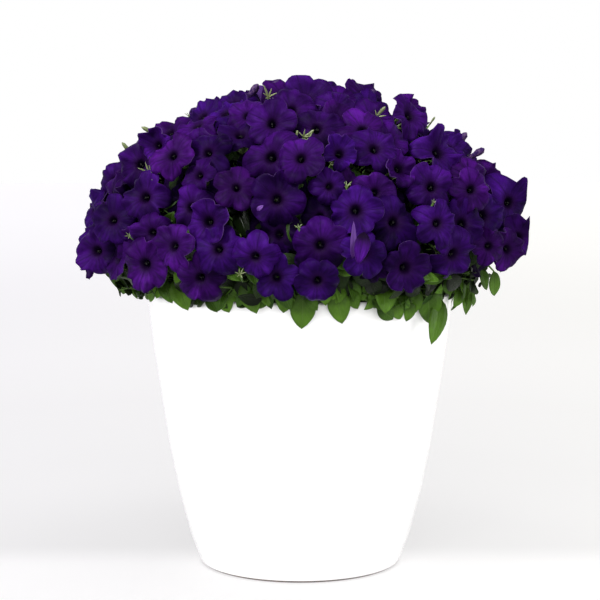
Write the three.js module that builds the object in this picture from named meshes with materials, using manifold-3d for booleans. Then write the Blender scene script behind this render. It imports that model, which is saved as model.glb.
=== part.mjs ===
// A round planter of petunias, in millimetres. +Z is up, the floor is z = 0 and the planter's axis is the Z
// axis. The side that is usually looked at faces -Y.
import * as THREE from 'three';
import { mergeVertices } from 'three/addons/utils/BufferGeometryUtils.js';
import Module from 'manifold-3d';

const wasm = await Module();
wasm.setup();

// ---------- driving dimensions ----------
const GAP = 0.3; // between solids that touch
const MERGE = 1e-4; // points of one surface that are nearer than this are one point

// planter
const RIM_RADIUS = 175;
const PLANTER_HEIGHT = 313;
const WALL = 5;
const FLOOR_THICKNESS = 8;
const PLANTER_SIDES = 36;
const PLANTER_OUTLINE = [ // radius, height up the outside
  [112, 0], [117, 5], [128, 37], [141, 88], [151, 140], [159, 192], [167, 244], [174, 300],
];
const WALL_STEPS = [37, 140]; // heights where the inside of the wall changes slope
const RIM_ROUND = 2; // the lip's rounded edge

// soil
const SOIL_TOP = 298;
const SOIL_CROWN = 4; // how much higher the soil stands at its middle
const ROOT_DEPTH = 24; // how far a stem stands in the soil
const SOIL_TO_WALL = 0.45;
const SOIL_TO_STEM = 0.48;

// dome of blooms: an ellipsoid that their limbs lie on
const DOME_CENTRE_Z = 362;
const DOME_RADIUS = 246;
const DOME_HEIGHT = 178;
const SKIRT_LOWEST = 342; // no bloom is centred lower than this

// where the planter is usually seen from: a lens on the -Y side, level, and the picture it gives
const EYE = { distance: 1845, height: 456, focalPx: 1604, axisPx: 299.5, horizonPx: 166 };

// blooms
const BLOOM_RADIUS = 27;
const TUBE_LENGTH = 0.95; // of the bloom's radius, from limb to calyx
const BLOOM_CLEARANCE = 1.3; // least room between the blooms
const FILL_SPACING = 40; // between the centres of blooms that fill the rest of the dome
const FILL_TRIES = 560;
const LIFTS = [0, 6, -7, 12, -14, -21, -28]; // how far out of the dome a bloom may stand, tried in turn
const FILL_SIZE = { least: 0.9, spread: 0.2 }; // of the bloom radius
const BLOOM_REACH = 2.4; // blooms further apart than their radii times this can't touch

// The blooms that show on the usual side, each as the place of its middle and its width in that picture.
const FRONT_BLOOMS = [
  [304, 100, 54], [270, 157, 56], [277, 200, 54], [300, 166, 46], [137, 160, 50], [178, 163, 44],
  [207, 152, 46], [144, 197, 50], [187, 205, 46], [161, 150, 38], [106, 180, 44], [194, 125, 44],
  [226, 112, 46], [238, 98, 40], [272, 129, 46], [316, 129, 48], [215, 182, 40], [238, 190, 42],
  [112, 220, 44], [90, 236, 40], [95, 258, 48], [144, 265, 52], [208, 222, 48], [219, 249, 48],
  [200, 279, 48], [147, 232, 42], [257, 257, 42], [276, 230, 46], [275, 277, 42], [320, 246, 54],
  [317, 284, 44], [362, 254, 46], [355, 211, 52], [377, 190, 48], [321, 209, 44], [438, 153, 54],
  [431, 187, 48], [401, 164, 44], [466, 222, 50], [505, 203, 50], [513, 238, 46], [454, 255, 52],
  [397, 220, 52], [430, 226, 42], [392, 104, 40], [412, 112, 42], [429, 124, 42], [361, 135, 46],
  [362, 92, 42], [332, 91, 42], [336, 108, 40], [372, 153, 46], [338, 158, 40], [471, 173, 42],
  [491, 174, 40], [462, 195, 42], [329, 187, 40], [405, 268, 52], [381, 263, 44], [487, 252, 40],
  [176, 246, 44], [248, 116, 42], [460, 141, 38], [350, 178, 38],
];

// stems
const STEM_COUNT = 30;
const STEM_RADIUS = 3.6;
const STEM_SIDES = 4;
const FORK_SHARE = 0.5; // how far out from the dome's middle a stem forks
const STALK_RADIUS = 1.8;
const CALYX_RADIUS = 2.7;
const STALK_SIDES = 3;
const CALYX_LENGTH = 9;
const FORK_LOWEST = 340;
const JOINT_FIRST = 2; // how far below its fork a stem's first shoot leaves it
const JOINT_STEP = 5; // and each next one below the last
const JOINT_COUNT = 8;
const STEM_TOP = 0.96; // the height of the first stem's part of the dome, as a share of the dome's
const STEM_SPAN = 1.02; // and how far below it the last one's is
const ROOT_SHARE = 0.9; // how far out a stem is rooted, of how far out it forks
const STEM_TAPER = 0.8;
const STEMS_TRIED = 5; // how many near stems a shoot may grow from

// leaves
const LEAF_LENGTH = 44;
const LEAF_WIDTH = 25;
const LEAF_THICKNESS = 1.3;
const LEAF_DROOP = 0.08; // how far the tip bends down, of the length
const LEAF_SPREAD = 0.95; // radians between a leaf and its stalk
const LEAF_FOLD = 0.16; // how far its edges stand up, of their distance from its midrib
const LEAFSTALK_RADIUS = 1.1;
const LEAF_TURNS = 8; // places round its stalk that a leaf is tried in
const LEAVES_ON_BLOOMS = 0.2; // the share of the flower stalks that carry a leaf
const LEAF_SHARE = { least: 0.6, spread: 0.3 }; // how far along its flower stalk it grows
const LEAF_SIZE = { least: 0.85, spread: 0.3 }; // of the leaf length and width
const LEAF_EDGE = [[0.24, 0.38], [0.48, 0.5], [0.77, 0.32]]; // a leaf's outline: along it and across it
const LEAF_RIDGE = [0.34, 0.64]; // where its midrib stands out, along it

// The leaves that hang over the rim on the usual side: tip and length in that picture, and the leaf's lean.
const RIM_LEAVES = [
  [304, 331, 40, 0.05], [343, 324, 36, 0.25], [376, 314, 34, -0.25], [412, 319, 34, -0.05],
  [430, 325, 38, 0.1], [427, 343, 50, -0.35], [255, 314, 34, 0.3], [282, 314, 32, -0.15],
  [227, 314, 34, 0.35], [190, 308, 36, 0.55], [257, 303, 28, 0], [127, 296, 34, -0.1],
  [465, 317, 46, 0.02], [493, 299, 34, 0.5], [112, 291, 32, -0.35], [500, 272, 28, -0.1],
  [240, 309, 32, -0.1], [268, 307, 30, 0.2], [362, 303, 32, 0.1], [390, 302, 30, -0.3], [323, 305, 30, 0],
  [211, 307, 30, -0.2], [448, 296, 28, 0.3],
];
const RIM_BEHIND = { // more of them round the far side
  count: 16, lowestTip: 284, tipSpread: 24, shortest: 30, lengthSpread: 14, leanSpread: 0.7,
};
const RIM_LEAF_RADIUS = 186; // how far from the axis they hang
const RIM_SHOOT_RUN = 12; // their shoot bends down this far inside them
const RIM_SHOOT_RISES = [8, 2, 14]; // and this much higher, tried in turn

const COLOURS = {
  petal: new THREE.Color(0x4a1c86),
  leaf: new THREE.Color(0x5f8f4a),
  planter: new THREE.Color(0xf6f6f4),
  soil: new THREE.Color(0x2e2018),
};

// ---------- small helpers ----------
const vec = (x, y, z) => new THREE.Vector3(x, y, z);
const UP = vec(0, 0, 1);
const DOME_CENTRE = vec(0, 0, DOME_CENTRE_Z);

// A plain seeded draw, the same on every machine.
function makeDraw(seed) {
  let state = seed;
  return () => {
    state = (state * 16807) % 2147483647;
    return state / 2147483647;
  };
}

// Two directions at right angles to an axis, the second as near to straight up as can be.
function frameOf(axis) {
  const side = Math.abs(axis.z) > 0.99 ? vec(1, 0, 0) : vec(0, 0, 1).cross(axis).normalize();
  return { side, rise: axis.clone().cross(side).normalize() };
}

// The direction at a turn from one direction towards another.
function inPlane(from, towards, turn) {
  return from.clone().multiplyScalar(Math.cos(turn)).addScaledVector(towards, Math.sin(turn));
}

// A closed solid with a colour at each point, whichever way round its triangles are given.
function solidFrom(points, colours, triangles) {
  const solidOf = (wound) => new wasm.Manifold(new wasm.Mesh({
    numProp: 6,
    vertProperties: new Float32Array(points.flatMap((p, i) => [p.x, p.y, p.z, ...colours[i].toArray()])),
    triVerts: new Uint32Array(wound.flat()),
  }));
  const solid = solidOf(triangles);
  return solid.volume() > 0 ? solid : solidOf(triangles.map(([a, b, c]) => [a, c, b]));
}

function solidFromGeometry(geometry) {
  const plain = geometry.clone();
  plain.deleteAttribute('normal');
  plain.deleteAttribute('uv');
  const merged = mergeVertices(plain, MERGE);
  return new wasm.Manifold(new wasm.Mesh({
    numProp: 3,
    vertProperties: new Float32Array(merged.attributes.position.array),
    triVerts: new Uint32Array(merged.index.array),
  }));
}

// The triangles of a tube with flat sides through rings of points, open at its ends.
function tubeTriangles(firstPoint, sides, rings) {
  const triangles = [];
  for (let ring = 0; ring < rings - 1; ring++) {
    for (let i = 0; i < sides; i++) {
      const a = firstPoint + ring * sides + i;
      const b = firstPoint + ring * sides + ((i + 1) % sides);
      triangles.push([a, b, b + sides], [a, b + sides, a + sides]);
    }
  }
  return triangles;
}

// A ring of points round a centre, given the two directions of its plane.
function ringOf(centre, { side, rise }, radius, sides) {
  return Array.from({ length: sides }, (_, i) => {
    const turn = (2 * Math.PI * i) / sides;
    return centre.clone()
      .addScaledVector(side, radius * Math.cos(turn))
      .addScaledVector(rise, radius * Math.sin(turn));
  });
}

// A stalk with flat sides through a row of points, with a radius at each.
function stalk(centres, radii, sides, colour) {
  const last = centres.length - 1;
  const points = centres.flatMap((centre, i) => {
    const along = centres[Math.min(i + 1, last)].clone().sub(centres[Math.max(i - 1, 0)]).normalize();
    return ringOf(centre, frameOf(along), radii[i], sides);
  });
  const triangles = tubeTriangles(0, sides, centres.length);
  const end = last * sides;
  for (let i = 1; i < sides - 1; i++) {
    triangles.push([0, i + 1, i], [end, end + i, end + i + 1]);
  }
  return solidFrom(points, points.map(() => colour), triangles);
}

// ---------- planter and soil ----------
// The radius of an outline of [radius, height] pairs at a height.
function radiusOn(outline, height) {
  const next = Math.max(outline.findIndex(([, step]) => step >= height), 1);
  const [r0, z0] = outline[next - 1];
  const [r1, z1] = outline[next];
  return r0 + ((r1 - r0) * (height - z0)) / (z1 - z0);
}

const INSIDE_OUTLINE = [
  ...[FLOOR_THICKNESS, ...WALL_STEPS].map((height) => [radiusOn(PLANTER_OUTLINE, height) - WALL, height]),
  [RIM_RADIUS - WALL, PLANTER_HEIGHT],
];

// Turns an outline of [radius, height] pairs about the Z axis.
function turned(outline, sides) {
  const points = outline.map(([radius, height]) => new THREE.Vector2(radius, height));
  const geometry = new THREE.LatheGeometry(points, sides);
  geometry.rotateX(Math.PI / 2);
  return geometry;
}

function planterSolid() {
  const outline = [
    [0, 0],
    ...PLANTER_OUTLINE,
    [RIM_RADIUS, PLANTER_HEIGHT - RIM_ROUND],
    [RIM_RADIUS - RIM_ROUND, PLANTER_HEIGHT],
    ...[...INSIDE_OUTLINE].reverse(),
    [0, FLOOR_THICKNESS],
  ];
  return solidFromGeometry(turned(outline, PLANTER_SIDES));
}

function soilSolid(stems) {
  const bottom = FLOOR_THICKNESS + GAP;
  const heights = [bottom, ...WALL_STEPS, SOIL_TOP];
  const outline = [
    [0, bottom],
    ...heights.map((height) => [radiusOn(INSIDE_OUTLINE, height) - SOIL_TO_WALL, height]),
    [0, SOIL_TOP + SOIL_CROWN],
  ];
  const holes = stems.map(({ root, fork }) => {
    const bottomOfHole = root.clone().addScaledVector(root.clone().sub(fork).normalize(), GAP);
    const radius = STEM_RADIUS + SOIL_TO_STEM;
    return stalk([bottomOfHole, fork], [radius, radius], STEM_SIDES, COLOURS.leaf);
  });
  return solidFromGeometry(turned(outline, PLANTER_SIDES)).subtract(wasm.Manifold.union(holes));
}

// ---------- where the blooms are ----------
const GOLDEN_ANGLE = Math.PI * (3 - Math.sqrt(5));
const BLOOM_SEED = 20261;
const LEAN_OUT = 0.6; // how much more a bloom faces sideways than the dome does
const LEAN_FROM = 100; // the distance from the axis where that lean is full
const FACE_USUAL = 0.9; // how much more the blooms in the usual picture face its viewer
const TILT = 0.42; // the most that a bloom is turned at random
const SHRUNK = 0.86; // a bloom with no room is tried again at this share of its size

// Heights over the limb's rim, as shares of the radius, at a share of the radius from the axis.
const THROAT = { at: 0.2, height: -0.12, deepest: -0.45 };
const BACK = { at: 0.15, height: -0.42 };
const frontHeight = (share) => (share < THROAT.at
  ? THROAT.deepest + ((THROAT.height - THROAT.deepest) * share) / THROAT.at
  : (THROAT.height * (1 - share)) / (1 - THROAT.at));
const backHeight = (share) => (BACK.height * (1 - Math.max(share, BACK.at))) / (1 - BACK.at);

function domePoint(unit) {
  return vec(DOME_RADIUS * unit.x, DOME_RADIUS * unit.y, DOME_CENTRE_Z + DOME_HEIGHT * unit.z);
}

function domeNormal(unit) {
  return vec(unit.x / DOME_RADIUS, unit.y / DOME_RADIUS, unit.z / DOME_HEIGHT).normalize();
}

// The line of sight through a place of the usual picture.
function sightLine(u, v) {
  return {
    from: vec(0, -EYE.distance, EYE.height),
    along: vec((u - EYE.axisPx) / EYE.focalPx, 1, (EYE.horizonPx - v) / EYE.focalPx),
  };
}

// Where a line of sight meets the dome, or passes nearest to it, as a direction of the unit sphere.
function sightOnDome(u, v) {
  const { from, along } = sightLine(u, v);
  const start = vec(from.x / DOME_RADIUS, from.y / DOME_RADIUS, (from.z - DOME_CENTRE_Z) / DOME_HEIGHT);
  const step = vec(along.x / DOME_RADIUS, along.y / DOME_RADIUS, along.z / DOME_HEIGHT);
  const a = step.dot(step);
  const b = start.dot(step);
  const c = start.dot(start) - 1;
  const travel = (-b - Math.sqrt(Math.max(b * b - a * c, 0))) / a;
  return start.addScaledVector(step, travel).normalize();
}

function bloomAt(unit, radius, facing, draws) {
  const foot = domePoint(unit);
  foot.z = Math.max(foot.z, SKIRT_LOWEST);
  const normal = domeNormal(unit);
  const away = Math.max(Math.hypot(foot.x, foot.y), 1);
  const outward = vec(foot.x, foot.y, 0).multiplyScalar((LEAN_OUT * Math.min(1, away / LEAN_FROM)) / away);
  const axis = normal.clone().add(outward).add(vec(0, -facing, 0)).normalize();
  const { side, rise } = frameOf(axis);
  axis.addScaledVector(side, TILT * (draws[1] - 0.5));
  axis.addScaledVector(rise, TILT * (draws[2] - 0.5)).normalize();
  return { foot, normal, axis, radius, spin: (2 * Math.PI * draws[3]) / 5, unit };
}

const PROBE_SHARES = [1, 0.8, 0.6, 0.4];
const PROBE_TURNS = 12;
const TUBE_PROBES = [0.5, 0.7, 0.9, 1.15, 1.4];

function probesOf(bloom) {
  const { side, rise } = frameOf(bloom.axis);
  const down = bloom.axis.clone().multiplyScalar(-bloom.radius);
  const probes = TUBE_PROBES.map((share) => bloom.centre.clone().addScaledVector(down, share));
  for (let i = 0; i < PROBE_TURNS; i++) {
    const angle = (2 * Math.PI * i) / PROBE_TURNS;
    const out = inPlane(side, rise, angle);
    for (const share of PROBE_SHARES) {
      for (const height of [frontHeight(share), backHeight(share)]) {
        probes.push(bloom.centre.clone()
          .addScaledVector(out, share * bloom.radius)
          .addScaledVector(bloom.axis, height * bloom.radius));
      }
    }
  }
  return probes;
}

// Whether all of one bloom's probes lie on one side of the other's limb, and off its tube.
function passes(probes, bloom) {
  let over = 0;
  let under = 0;
  for (const probe of probes) {
    const offset = probe.clone().sub(bloom.centre);
    const height = offset.dot(bloom.axis);
    const away = offset.addScaledVector(bloom.axis, -height).length();
    if (away > bloom.radius + BLOOM_CLEARANCE) {
      continue;
    }
    const share = Math.min(away / bloom.radius, 1);
    if (height > frontHeight(share) * bloom.radius + BLOOM_CLEARANCE) {
      over += 1;
    } else if (height < backHeight(share) * bloom.radius - BLOOM_CLEARANCE) {
      under += 1;
    } else {
      return false;
    }
    const onTube = away < BACK.at * bloom.radius + BLOOM_CLEARANCE;
    if (onTube && height < 0 && height > -(TUBE_LENGTH + BACK.at) * bloom.radius) {
      return false;
    }
    if (over > 0 && under > 0) {
      return false;
    }
  }
  return true;
}

function hasRoom(bloom, placed) {
  return placed.every((other) => {
    const apart = bloom.centre.distanceTo(other.centre) > BLOOM_REACH * (bloom.radius + other.radius);
    return apart || (passes(bloom.probes, other) && passes(other.probes, bloom));
  });
}

// Stands a bloom as near to the dome as its neighbours let it, smaller if it must be.
function place(bloom, placed) {
  for (const size of [1, SHRUNK]) {
    for (const lift of LIFTS) {
      const centre = bloom.foot.clone().addScaledVector(bloom.normal, lift);
      const tried = { ...bloom, radius: bloom.radius * size, centre };
      tried.probes = probesOf(tried);
      if (hasRoom(tried, placed)) {
        placed.push(tried);
        return;
      }
    }
  }
}

function placeBlooms() {
  const draw = makeDraw(BLOOM_SEED);
  const drawFour = () => [draw(), draw(), draw(), draw()];
  const placed = [];
  const widestFirst = [...FRONT_BLOOMS].sort((a, b) => b[2] - a[2]);
  for (const [u, v, width] of widestFirst) {
    const unit = sightOnDome(u, v);
    const distance = EYE.distance + domePoint(unit).y;
    place(bloomAt(unit, (0.5 * width * distance) / EYE.focalPx, FACE_USUAL, drawFour()), placed);
  }
  const lowest = (SKIRT_LOWEST - DOME_CENTRE_Z) / DOME_HEIGHT;
  for (let i = 0; i < FILL_TRIES; i++) {
    const height = 1 - ((i + 0.5) / FILL_TRIES) * (1 - lowest);
    const away = Math.sqrt(1 - height * height);
    const turn = i * GOLDEN_ANGLE;
    const unit = vec(away * Math.cos(turn), away * Math.sin(turn), height);
    const draws = drawFour();
    const bloom = bloomAt(unit, BLOOM_RADIUS * (FILL_SIZE.least + FILL_SIZE.spread * draws[0]), 0, draws);
    if (placed.every((other) => other.foot.distanceTo(bloom.foot) > FILL_SPACING)) {
      place(bloom, placed);
    }
  }
  return placed;
}

// ---------- shapes of the plant ----------
const PETALS = 5;
const SHOULDER = { turn: 0.3, height: -0.06 }; // of a petal's two round corners, from its middle, in radians
const NOTCH = { at: 0.84, height: 0.02 }; // between two petals

// A trumpet bloom in one piece with its calyx and its stalk, which starts at a point of a stem.
function flowerSolid({ centre, axis, radius, spin }, start) {
  const { side, rise } = frameOf(axis);
  const at = (turn, away, height) => centre.clone()
    .addScaledVector(side, away * radius * Math.cos(turn))
    .addScaledVector(rise, away * radius * Math.sin(turn))
    .addScaledVector(axis, height * radius);
  const points = [];
  const triangles = [];
  for (let i = 0; i < PETALS; i++) {
    const middle = spin + (2 * Math.PI * i) / PETALS;
    points.push(at(middle - Math.PI / PETALS, NOTCH.at, NOTCH.height));
    points.push(at(middle - SHOULDER.turn, 1, SHOULDER.height));
    points.push(at(middle + SHOULDER.turn, 1, SHOULDER.height));
  }
  const rim = 3 * PETALS;
  for (let i = 0; i < PETALS; i++) {
    points.push(at(spin + (2 * Math.PI * (i - 0.5)) / PETALS, THROAT.at, THROAT.height));
  }
  const deepest = points.push(at(0, 0, THROAT.deepest)) - 1;
  for (let i = 0; i < PETALS; i++) {
    const [notch, left, right, next] = [3 * i, 3 * i + 1, 3 * i + 2, (3 * i + 3) % rim];
    const [throat, nextThroat] = [rim + i, rim + ((i + 1) % PETALS)];
    triangles.push([throat, notch, left], [throat, left, nextThroat]);
    triangles.push([nextThroat, left, right], [nextThroat, right, next]);
    triangles.push([throat, nextThroat, deepest]);
  }
  const tube = points.length;
  const turns = [0, 1, 2].map((i) => spin - Math.PI / PETALS + (2 * Math.PI * (5 * i + 2.5)) / rim);
  points.push(...turns.map((turn) => at(turn, BACK.at, BACK.height)));
  for (let i = 0; i < STALK_SIDES; i++) {
    for (let k = 0; k < 5; k++) {
      triangles.push([(5 * i + k + 1) % rim, 5 * i + k, tube + i]);
    }
    triangles.push([(5 * i + 5) % rim, tube + i, tube + ((i + 1) % STALK_SIDES)]);
  }
  const petalPoints = points.length;
  const calyx = at(0, 0, -TUBE_LENGTH);
  const knee = calyx.clone().addScaledVector(axis, -CALYX_LENGTH);
  const along = knee.clone().sub(start).normalize();
  const bend = new THREE.Quaternion().setFromUnitVectors(axis, along);
  const spokes = turns.map((turn) => inPlane(side, rise, turn));
  for (const [middle, thickness, turned] of [
    [calyx, CALYX_RADIUS, 0], [knee, STALK_RADIUS, 0.5], [start, STALK_RADIUS, 1],
  ]) {
    const turn = new THREE.Quaternion().slerp(bend, turned);
    points.push(...spokes.map((spoke) => middle.clone()
      .addScaledVector(spoke.clone().applyQuaternion(turn), thickness)));
  }
  const last = points.length - STALK_SIDES;
  triangles.push(...tubeTriangles(tube, STALK_SIDES, 4).map(([a, b, c]) => [a, c, b]));
  triangles.push([last, last + 2, last + 1]);
  const colours = points.map((_, i) => (i < petalPoints ? COLOURS.petal : COLOURS.leaf));
  return { solid: solidFrom(points, colours, triangles), knee };
}

// A leaf: a folded blade, pointed at its tip, that bends down along its length. It is one piece with its
// three-sided leafstalk, which passes through the given points before it reaches the blade's base.
function leafSolid(stalkPoints, base, along, face, length, width) {
  const across = face.clone().cross(along).normalize();
  const at = (share, offset, lift) => base.clone()
    .addScaledVector(along, share * length)
    .addScaledVector(across, offset * width)
    .addScaledVector(face, lift - LEAF_DROOP * share * share * length + LEAF_FOLD * Math.abs(offset) * width);
  const half = LEAF_THICKNESS / 2;
  const points = [
    ...LEAF_EDGE.map(([share, offset]) => at(share, offset, 0)),
    at(1, 0, 0),
    ...[...LEAF_EDGE].reverse().map(([share, offset]) => at(share, -offset, 0)),
    ...LEAF_RIDGE.map((share) => at(share, 0, half)),
    ...LEAF_RIDGE.map((share) => at(share, 0, -half)),
  ];
  const [near, far, nearBelow, farBelow, left, right, keel] = [7, 8, 9, 10, 11, 12, 13];
  const triangles = [
    [left, near, 0], [0, near, 1], [1, near, far], [1, far, 2], [2, far, 3],
    [right, 6, near], [6, 5, near], [5, far, near], [5, 4, far], [4, 3, far], [left, right, near],
    [left, 0, nearBelow], [0, 1, nearBelow], [1, farBelow, nearBelow], [1, 2, farBelow], [2, 3, farBelow],
    [right, nearBelow, 6], [6, nearBelow, 5], [5, nearBelow, farBelow], [5, farBelow, 4], [4, farBelow, 3],
    [left, nearBelow, keel], [keel, nearBelow, right],
  ];
  const path = [base, ...stalkPoints];
  const spokes = [across, across.clone().negate(), face.clone().negate()];
  path.forEach((middle, i) => {
    const back = path[Math.min(i + 1, path.length - 1)].clone().sub(path[Math.max(i - 1, 0)]);
    const bend = new THREE.Quaternion().setFromUnitVectors(along.clone().negate(), back.normalize());
    const turn = i === 0 ? new THREE.Quaternion() : bend;
    points.push(...spokes.map((spoke) => middle.clone()
      .addScaledVector(spoke.clone().applyQuaternion(turn), i === 0 ? LEAFSTALK_RADIUS : STALK_RADIUS)));
  });
  const last = points.length - STALK_SIDES;
  triangles.push(...tubeTriangles(left, STALK_SIDES, path.length).map(([a, b, c]) => [a, c, b]));
  triangles.push([last, last + 2, last + 1]);
  return solidFrom(points, points.map(() => COLOURS.leaf), triangles);
}

// ---------- the plant, stem by stem ----------

// Every piece of the plant that is placed so far, with the stem that it belongs to.
const pieces = [];

function addPiece(solid, stem, kind) {
  pieces.push({ solid, box: solid.boundingBox(), stem, kind });
}

function boxesMeet(a, b) {
  return [0, 1, 2].every((i) => a.min[i] - GAP < b.max[i] && b.min[i] - GAP < a.max[i]);
}

// Whether a solid keeps the gap to each piece that the filter asks about.
function isClear(solid, asked) {
  const box = solid.boundingBox();
  return pieces.every((piece) => !asked(piece) || !boxesMeet(box, piece.box)
    || solid.minGap(piece.solid, 2 * GAP) > GAP);
}

// Stems stand spread over the soil and fork below the dome's surface.
function makeStems() {
  const stems = [];
  for (let i = 0; i < STEM_COUNT; i++) {
    const height = STEM_TOP - ((i + 0.5) / STEM_COUNT) * STEM_SPAN;
    const away = Math.sqrt(1 - height * height);
    const unit = vec(away * Math.cos(i * GOLDEN_ANGLE), away * Math.sin(i * GOLDEN_ANGLE), height);
    const fork = vec(
      FORK_SHARE * DOME_RADIUS * unit.x,
      FORK_SHARE * DOME_RADIUS * unit.y,
      FORK_LOWEST + FORK_SHARE * DOME_HEIGHT * Math.max(unit.z, 0),
    );
    const root = vec(ROOT_SHARE * fork.x, ROOT_SHARE * fork.y, SOIL_TOP - ROOT_DEPTH);
    stems.push({ unit, fork, root });
  }
  return stems;
}

// The stems, those whose part of the dome a place is in first.
function nearestStems(stems, unit) {
  return stems.map((stem, index) => ({ index, near: stem.unit.dot(unit) }))
    .sort((a, b) => b.near - a.near)
    .map(({ index }) => index);
}

// Where the next shoot leaves a stem: each lower than the last one.
function nextJoint(stems, index) {
  const { fork, root } = stems[index];
  const shoots = pieces.filter((piece) => piece.stem === index && piece.kind === 'shoot').length;
  const down = root.clone().sub(fork).normalize();
  return fork.clone().addScaledVector(down, JOINT_FIRST + JOINT_STEP * (shoots % JOINT_COUNT));
}

// A bloom on the first near stem that its stalk can reach with nothing in the way.
function hangBloom(bloom, stems) {
  for (const index of nearestStems(stems, bloom.unit).slice(0, STEMS_TRIED)) {
    const start = nextJoint(stems, index);
    const { solid, knee } = flowerSolid(bloom, start);
    if (isClear(solid, (piece) => piece.stem !== index || piece.kind !== 'stem')) {
      addPiece(solid, index, 'shoot');
      return { stem: index, start, knee, solid };
    }
  }
  return null;
}

// A leaf on a flower stalk, turned to the first place where it touches nothing else.
function hangLeaf({ stem, start, knee, solid }, draw) {
  const along = knee.clone().sub(start).normalize();
  const { side, rise } = frameOf(along);
  const joint = start.clone().lerp(knee, LEAF_SHARE.least + LEAF_SHARE.spread * draw());
  const firstTurn = 2 * Math.PI * draw();
  const size = LEAF_SIZE.least + LEAF_SIZE.spread * draw();
  for (let i = 0; i < LEAF_TURNS; i++) {
    const turn = firstTurn + (2 * Math.PI * i) / LEAF_TURNS;
    const out = inPlane(side, rise, turn);
    const blade = inPlane(along, out, LEAF_SPREAD);
    const face = inPlane(along, out, LEAF_SPREAD - Math.PI / 2);
    const leaf = leafSolid([], joint, blade, face, LEAF_LENGTH * size, LEAF_WIDTH * size);
    if (isClear(leaf, (piece) => piece.solid !== solid)) {
      addPiece(leaf, stem, 'leaf');
      return;
    }
  }
}

// A leaf that hangs down outside the rim, on a side shoot that passes over it.
function hangRimLeaf(tip, length, lean, stems) {
  const outward = vec(tip.x, tip.y, 0).normalize();
  const sideways = vec(-outward.y, outward.x, 0);
  const up = UP.clone().multiplyScalar(Math.cos(lean)).addScaledVector(sideways, Math.sin(lean));
  const base = tip.clone().addScaledVector(up, length);
  const width = (length * LEAF_WIDTH) / LEAF_LENGTH;
  for (const rise of RIM_SHOOT_RISES) {
    const elbow = base.clone().addScaledVector(outward, -RIM_SHOOT_RUN).addScaledVector(UP, rise);
    for (const index of nearestStems(stems, outward).slice(0, STEMS_TRIED)) {
      const start = nextJoint(stems, index);
      const leaf = leafSolid([elbow, start], base, up.clone().negate(), outward, length, width);
      if (isClear(leaf, (piece) => piece.stem !== index || piece.kind !== 'stem')) {
        addPiece(leaf, index, 'shoot');
        return;
      }
    }
  }
}

// Where a line of sight first meets the upright cylinder that the rim leaves hang on.
function sightOnRimLeaves(u, v) {
  const { from, along } = sightLine(u, v);
  const a = along.x * along.x + along.y * along.y;
  const b = from.x * along.x + from.y * along.y;
  const c = from.x * from.x + from.y * from.y - RIM_LEAF_RADIUS * RIM_LEAF_RADIUS;
  const travel = (-b - Math.sqrt(Math.max(b * b - a * c, 0))) / a;
  return from.addScaledVector(along, travel);
}

const LEAF_SEED = 20262;

function growPlant() {
  const stems = makeStems();
  stems.forEach(({ root, fork }, index) => {
    const radii = [STEM_RADIUS, STEM_RADIUS * STEM_TAPER];
    addPiece(stalk([root, fork], radii, STEM_SIDES, COLOURS.leaf), index, 'stem');
  });
  const hung = placeBlooms().map((bloom) => hangBloom(bloom, stems)).filter(Boolean);
  for (const [u, v, lengthPx, lean] of RIM_LEAVES) {
    const tip = sightOnRimLeaves(u, v);
    const length = (lengthPx * (EYE.distance + tip.y)) / EYE.focalPx;
    hangRimLeaf(tip, length, lean, stems);
  }
  const draw = makeDraw(LEAF_SEED);
  for (let i = 0; i < RIM_BEHIND.count; i++) {
    const turn = (Math.PI * (i + 0.5)) / RIM_BEHIND.count;
    const height = RIM_BEHIND.lowestTip + RIM_BEHIND.tipSpread * draw();
    const tip = vec(RIM_LEAF_RADIUS * Math.cos(turn), RIM_LEAF_RADIUS * Math.sin(turn), height);
    const length = RIM_BEHIND.shortest + RIM_BEHIND.lengthSpread * draw();
    hangRimLeaf(tip, length, RIM_BEHIND.leanSpread * (draw() - 0.5), stems);
  }
  for (const flower of hung) {
    if (draw() < LEAVES_ON_BLOOMS) {
      hangLeaf(flower, draw);
    }
  }
  return stems;
}

// One closed solid of all of a stem's pieces.
function joinStem(index) {
  const own = pieces.filter((piece) => piece.stem === index).map((piece) => piece.solid);
  return wasm.Manifold.union(own).decompose().reduce((a, b) => (a.volume() > b.volume() ? a : b));
}

function geometryOf(solid) {
  const { numProp, vertProperties, triVerts } = solid.getMesh();
  const geometry = new THREE.BufferGeometry();
  const buffer = new THREE.InterleavedBuffer(vertProperties, numProp);
  geometry.setAttribute('position', new THREE.InterleavedBufferAttribute(buffer, 3, 0));
  if (numProp > 3) {
    geometry.setAttribute('color', new THREE.InterleavedBufferAttribute(buffer, 3, 3));
  }
  geometry.setIndex(new THREE.BufferAttribute(triVerts, 1));
  return geometry;
}

// ---------- the whole ----------
const planterGloss = new THREE.MeshStandardMaterial({ color: COLOURS.planter, roughness: 0.12 });
const darkSoil = new THREE.MeshStandardMaterial({ color: COLOURS.soil, roughness: 0.95 });
const plantTissue = new THREE.MeshStandardMaterial({ vertexColors: true, roughness: 0.6 });
plantTissue.flatShading = true;

function named(name, geometry, material) {
  const mesh = new THREE.Mesh(geometry, material);
  mesh.name = name;
  return mesh;
}

const plantedPlanter = new THREE.Group();
const stems = growPlant();
plantedPlanter.add(named('planter', geometryOf(planterSolid()), planterGloss));
plantedPlanter.add(named('potting_soil', geometryOf(soilSolid(stems)), darkSoil));
for (let i = 0; i < STEM_COUNT; i++) {
  const name = `flowering_stem_${String(i + 1).padStart(2, '0')}`;
  plantedPlanter.add(named(name, geometryOf(joinStem(i)), plantTissue));
}

export default plantedPlanter;
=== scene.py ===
import math
import random

import bmesh
import bpy
import numpy as np
from mathutils import Matrix, Vector, noise
from mathutils.kdtree import KDTree


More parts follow.
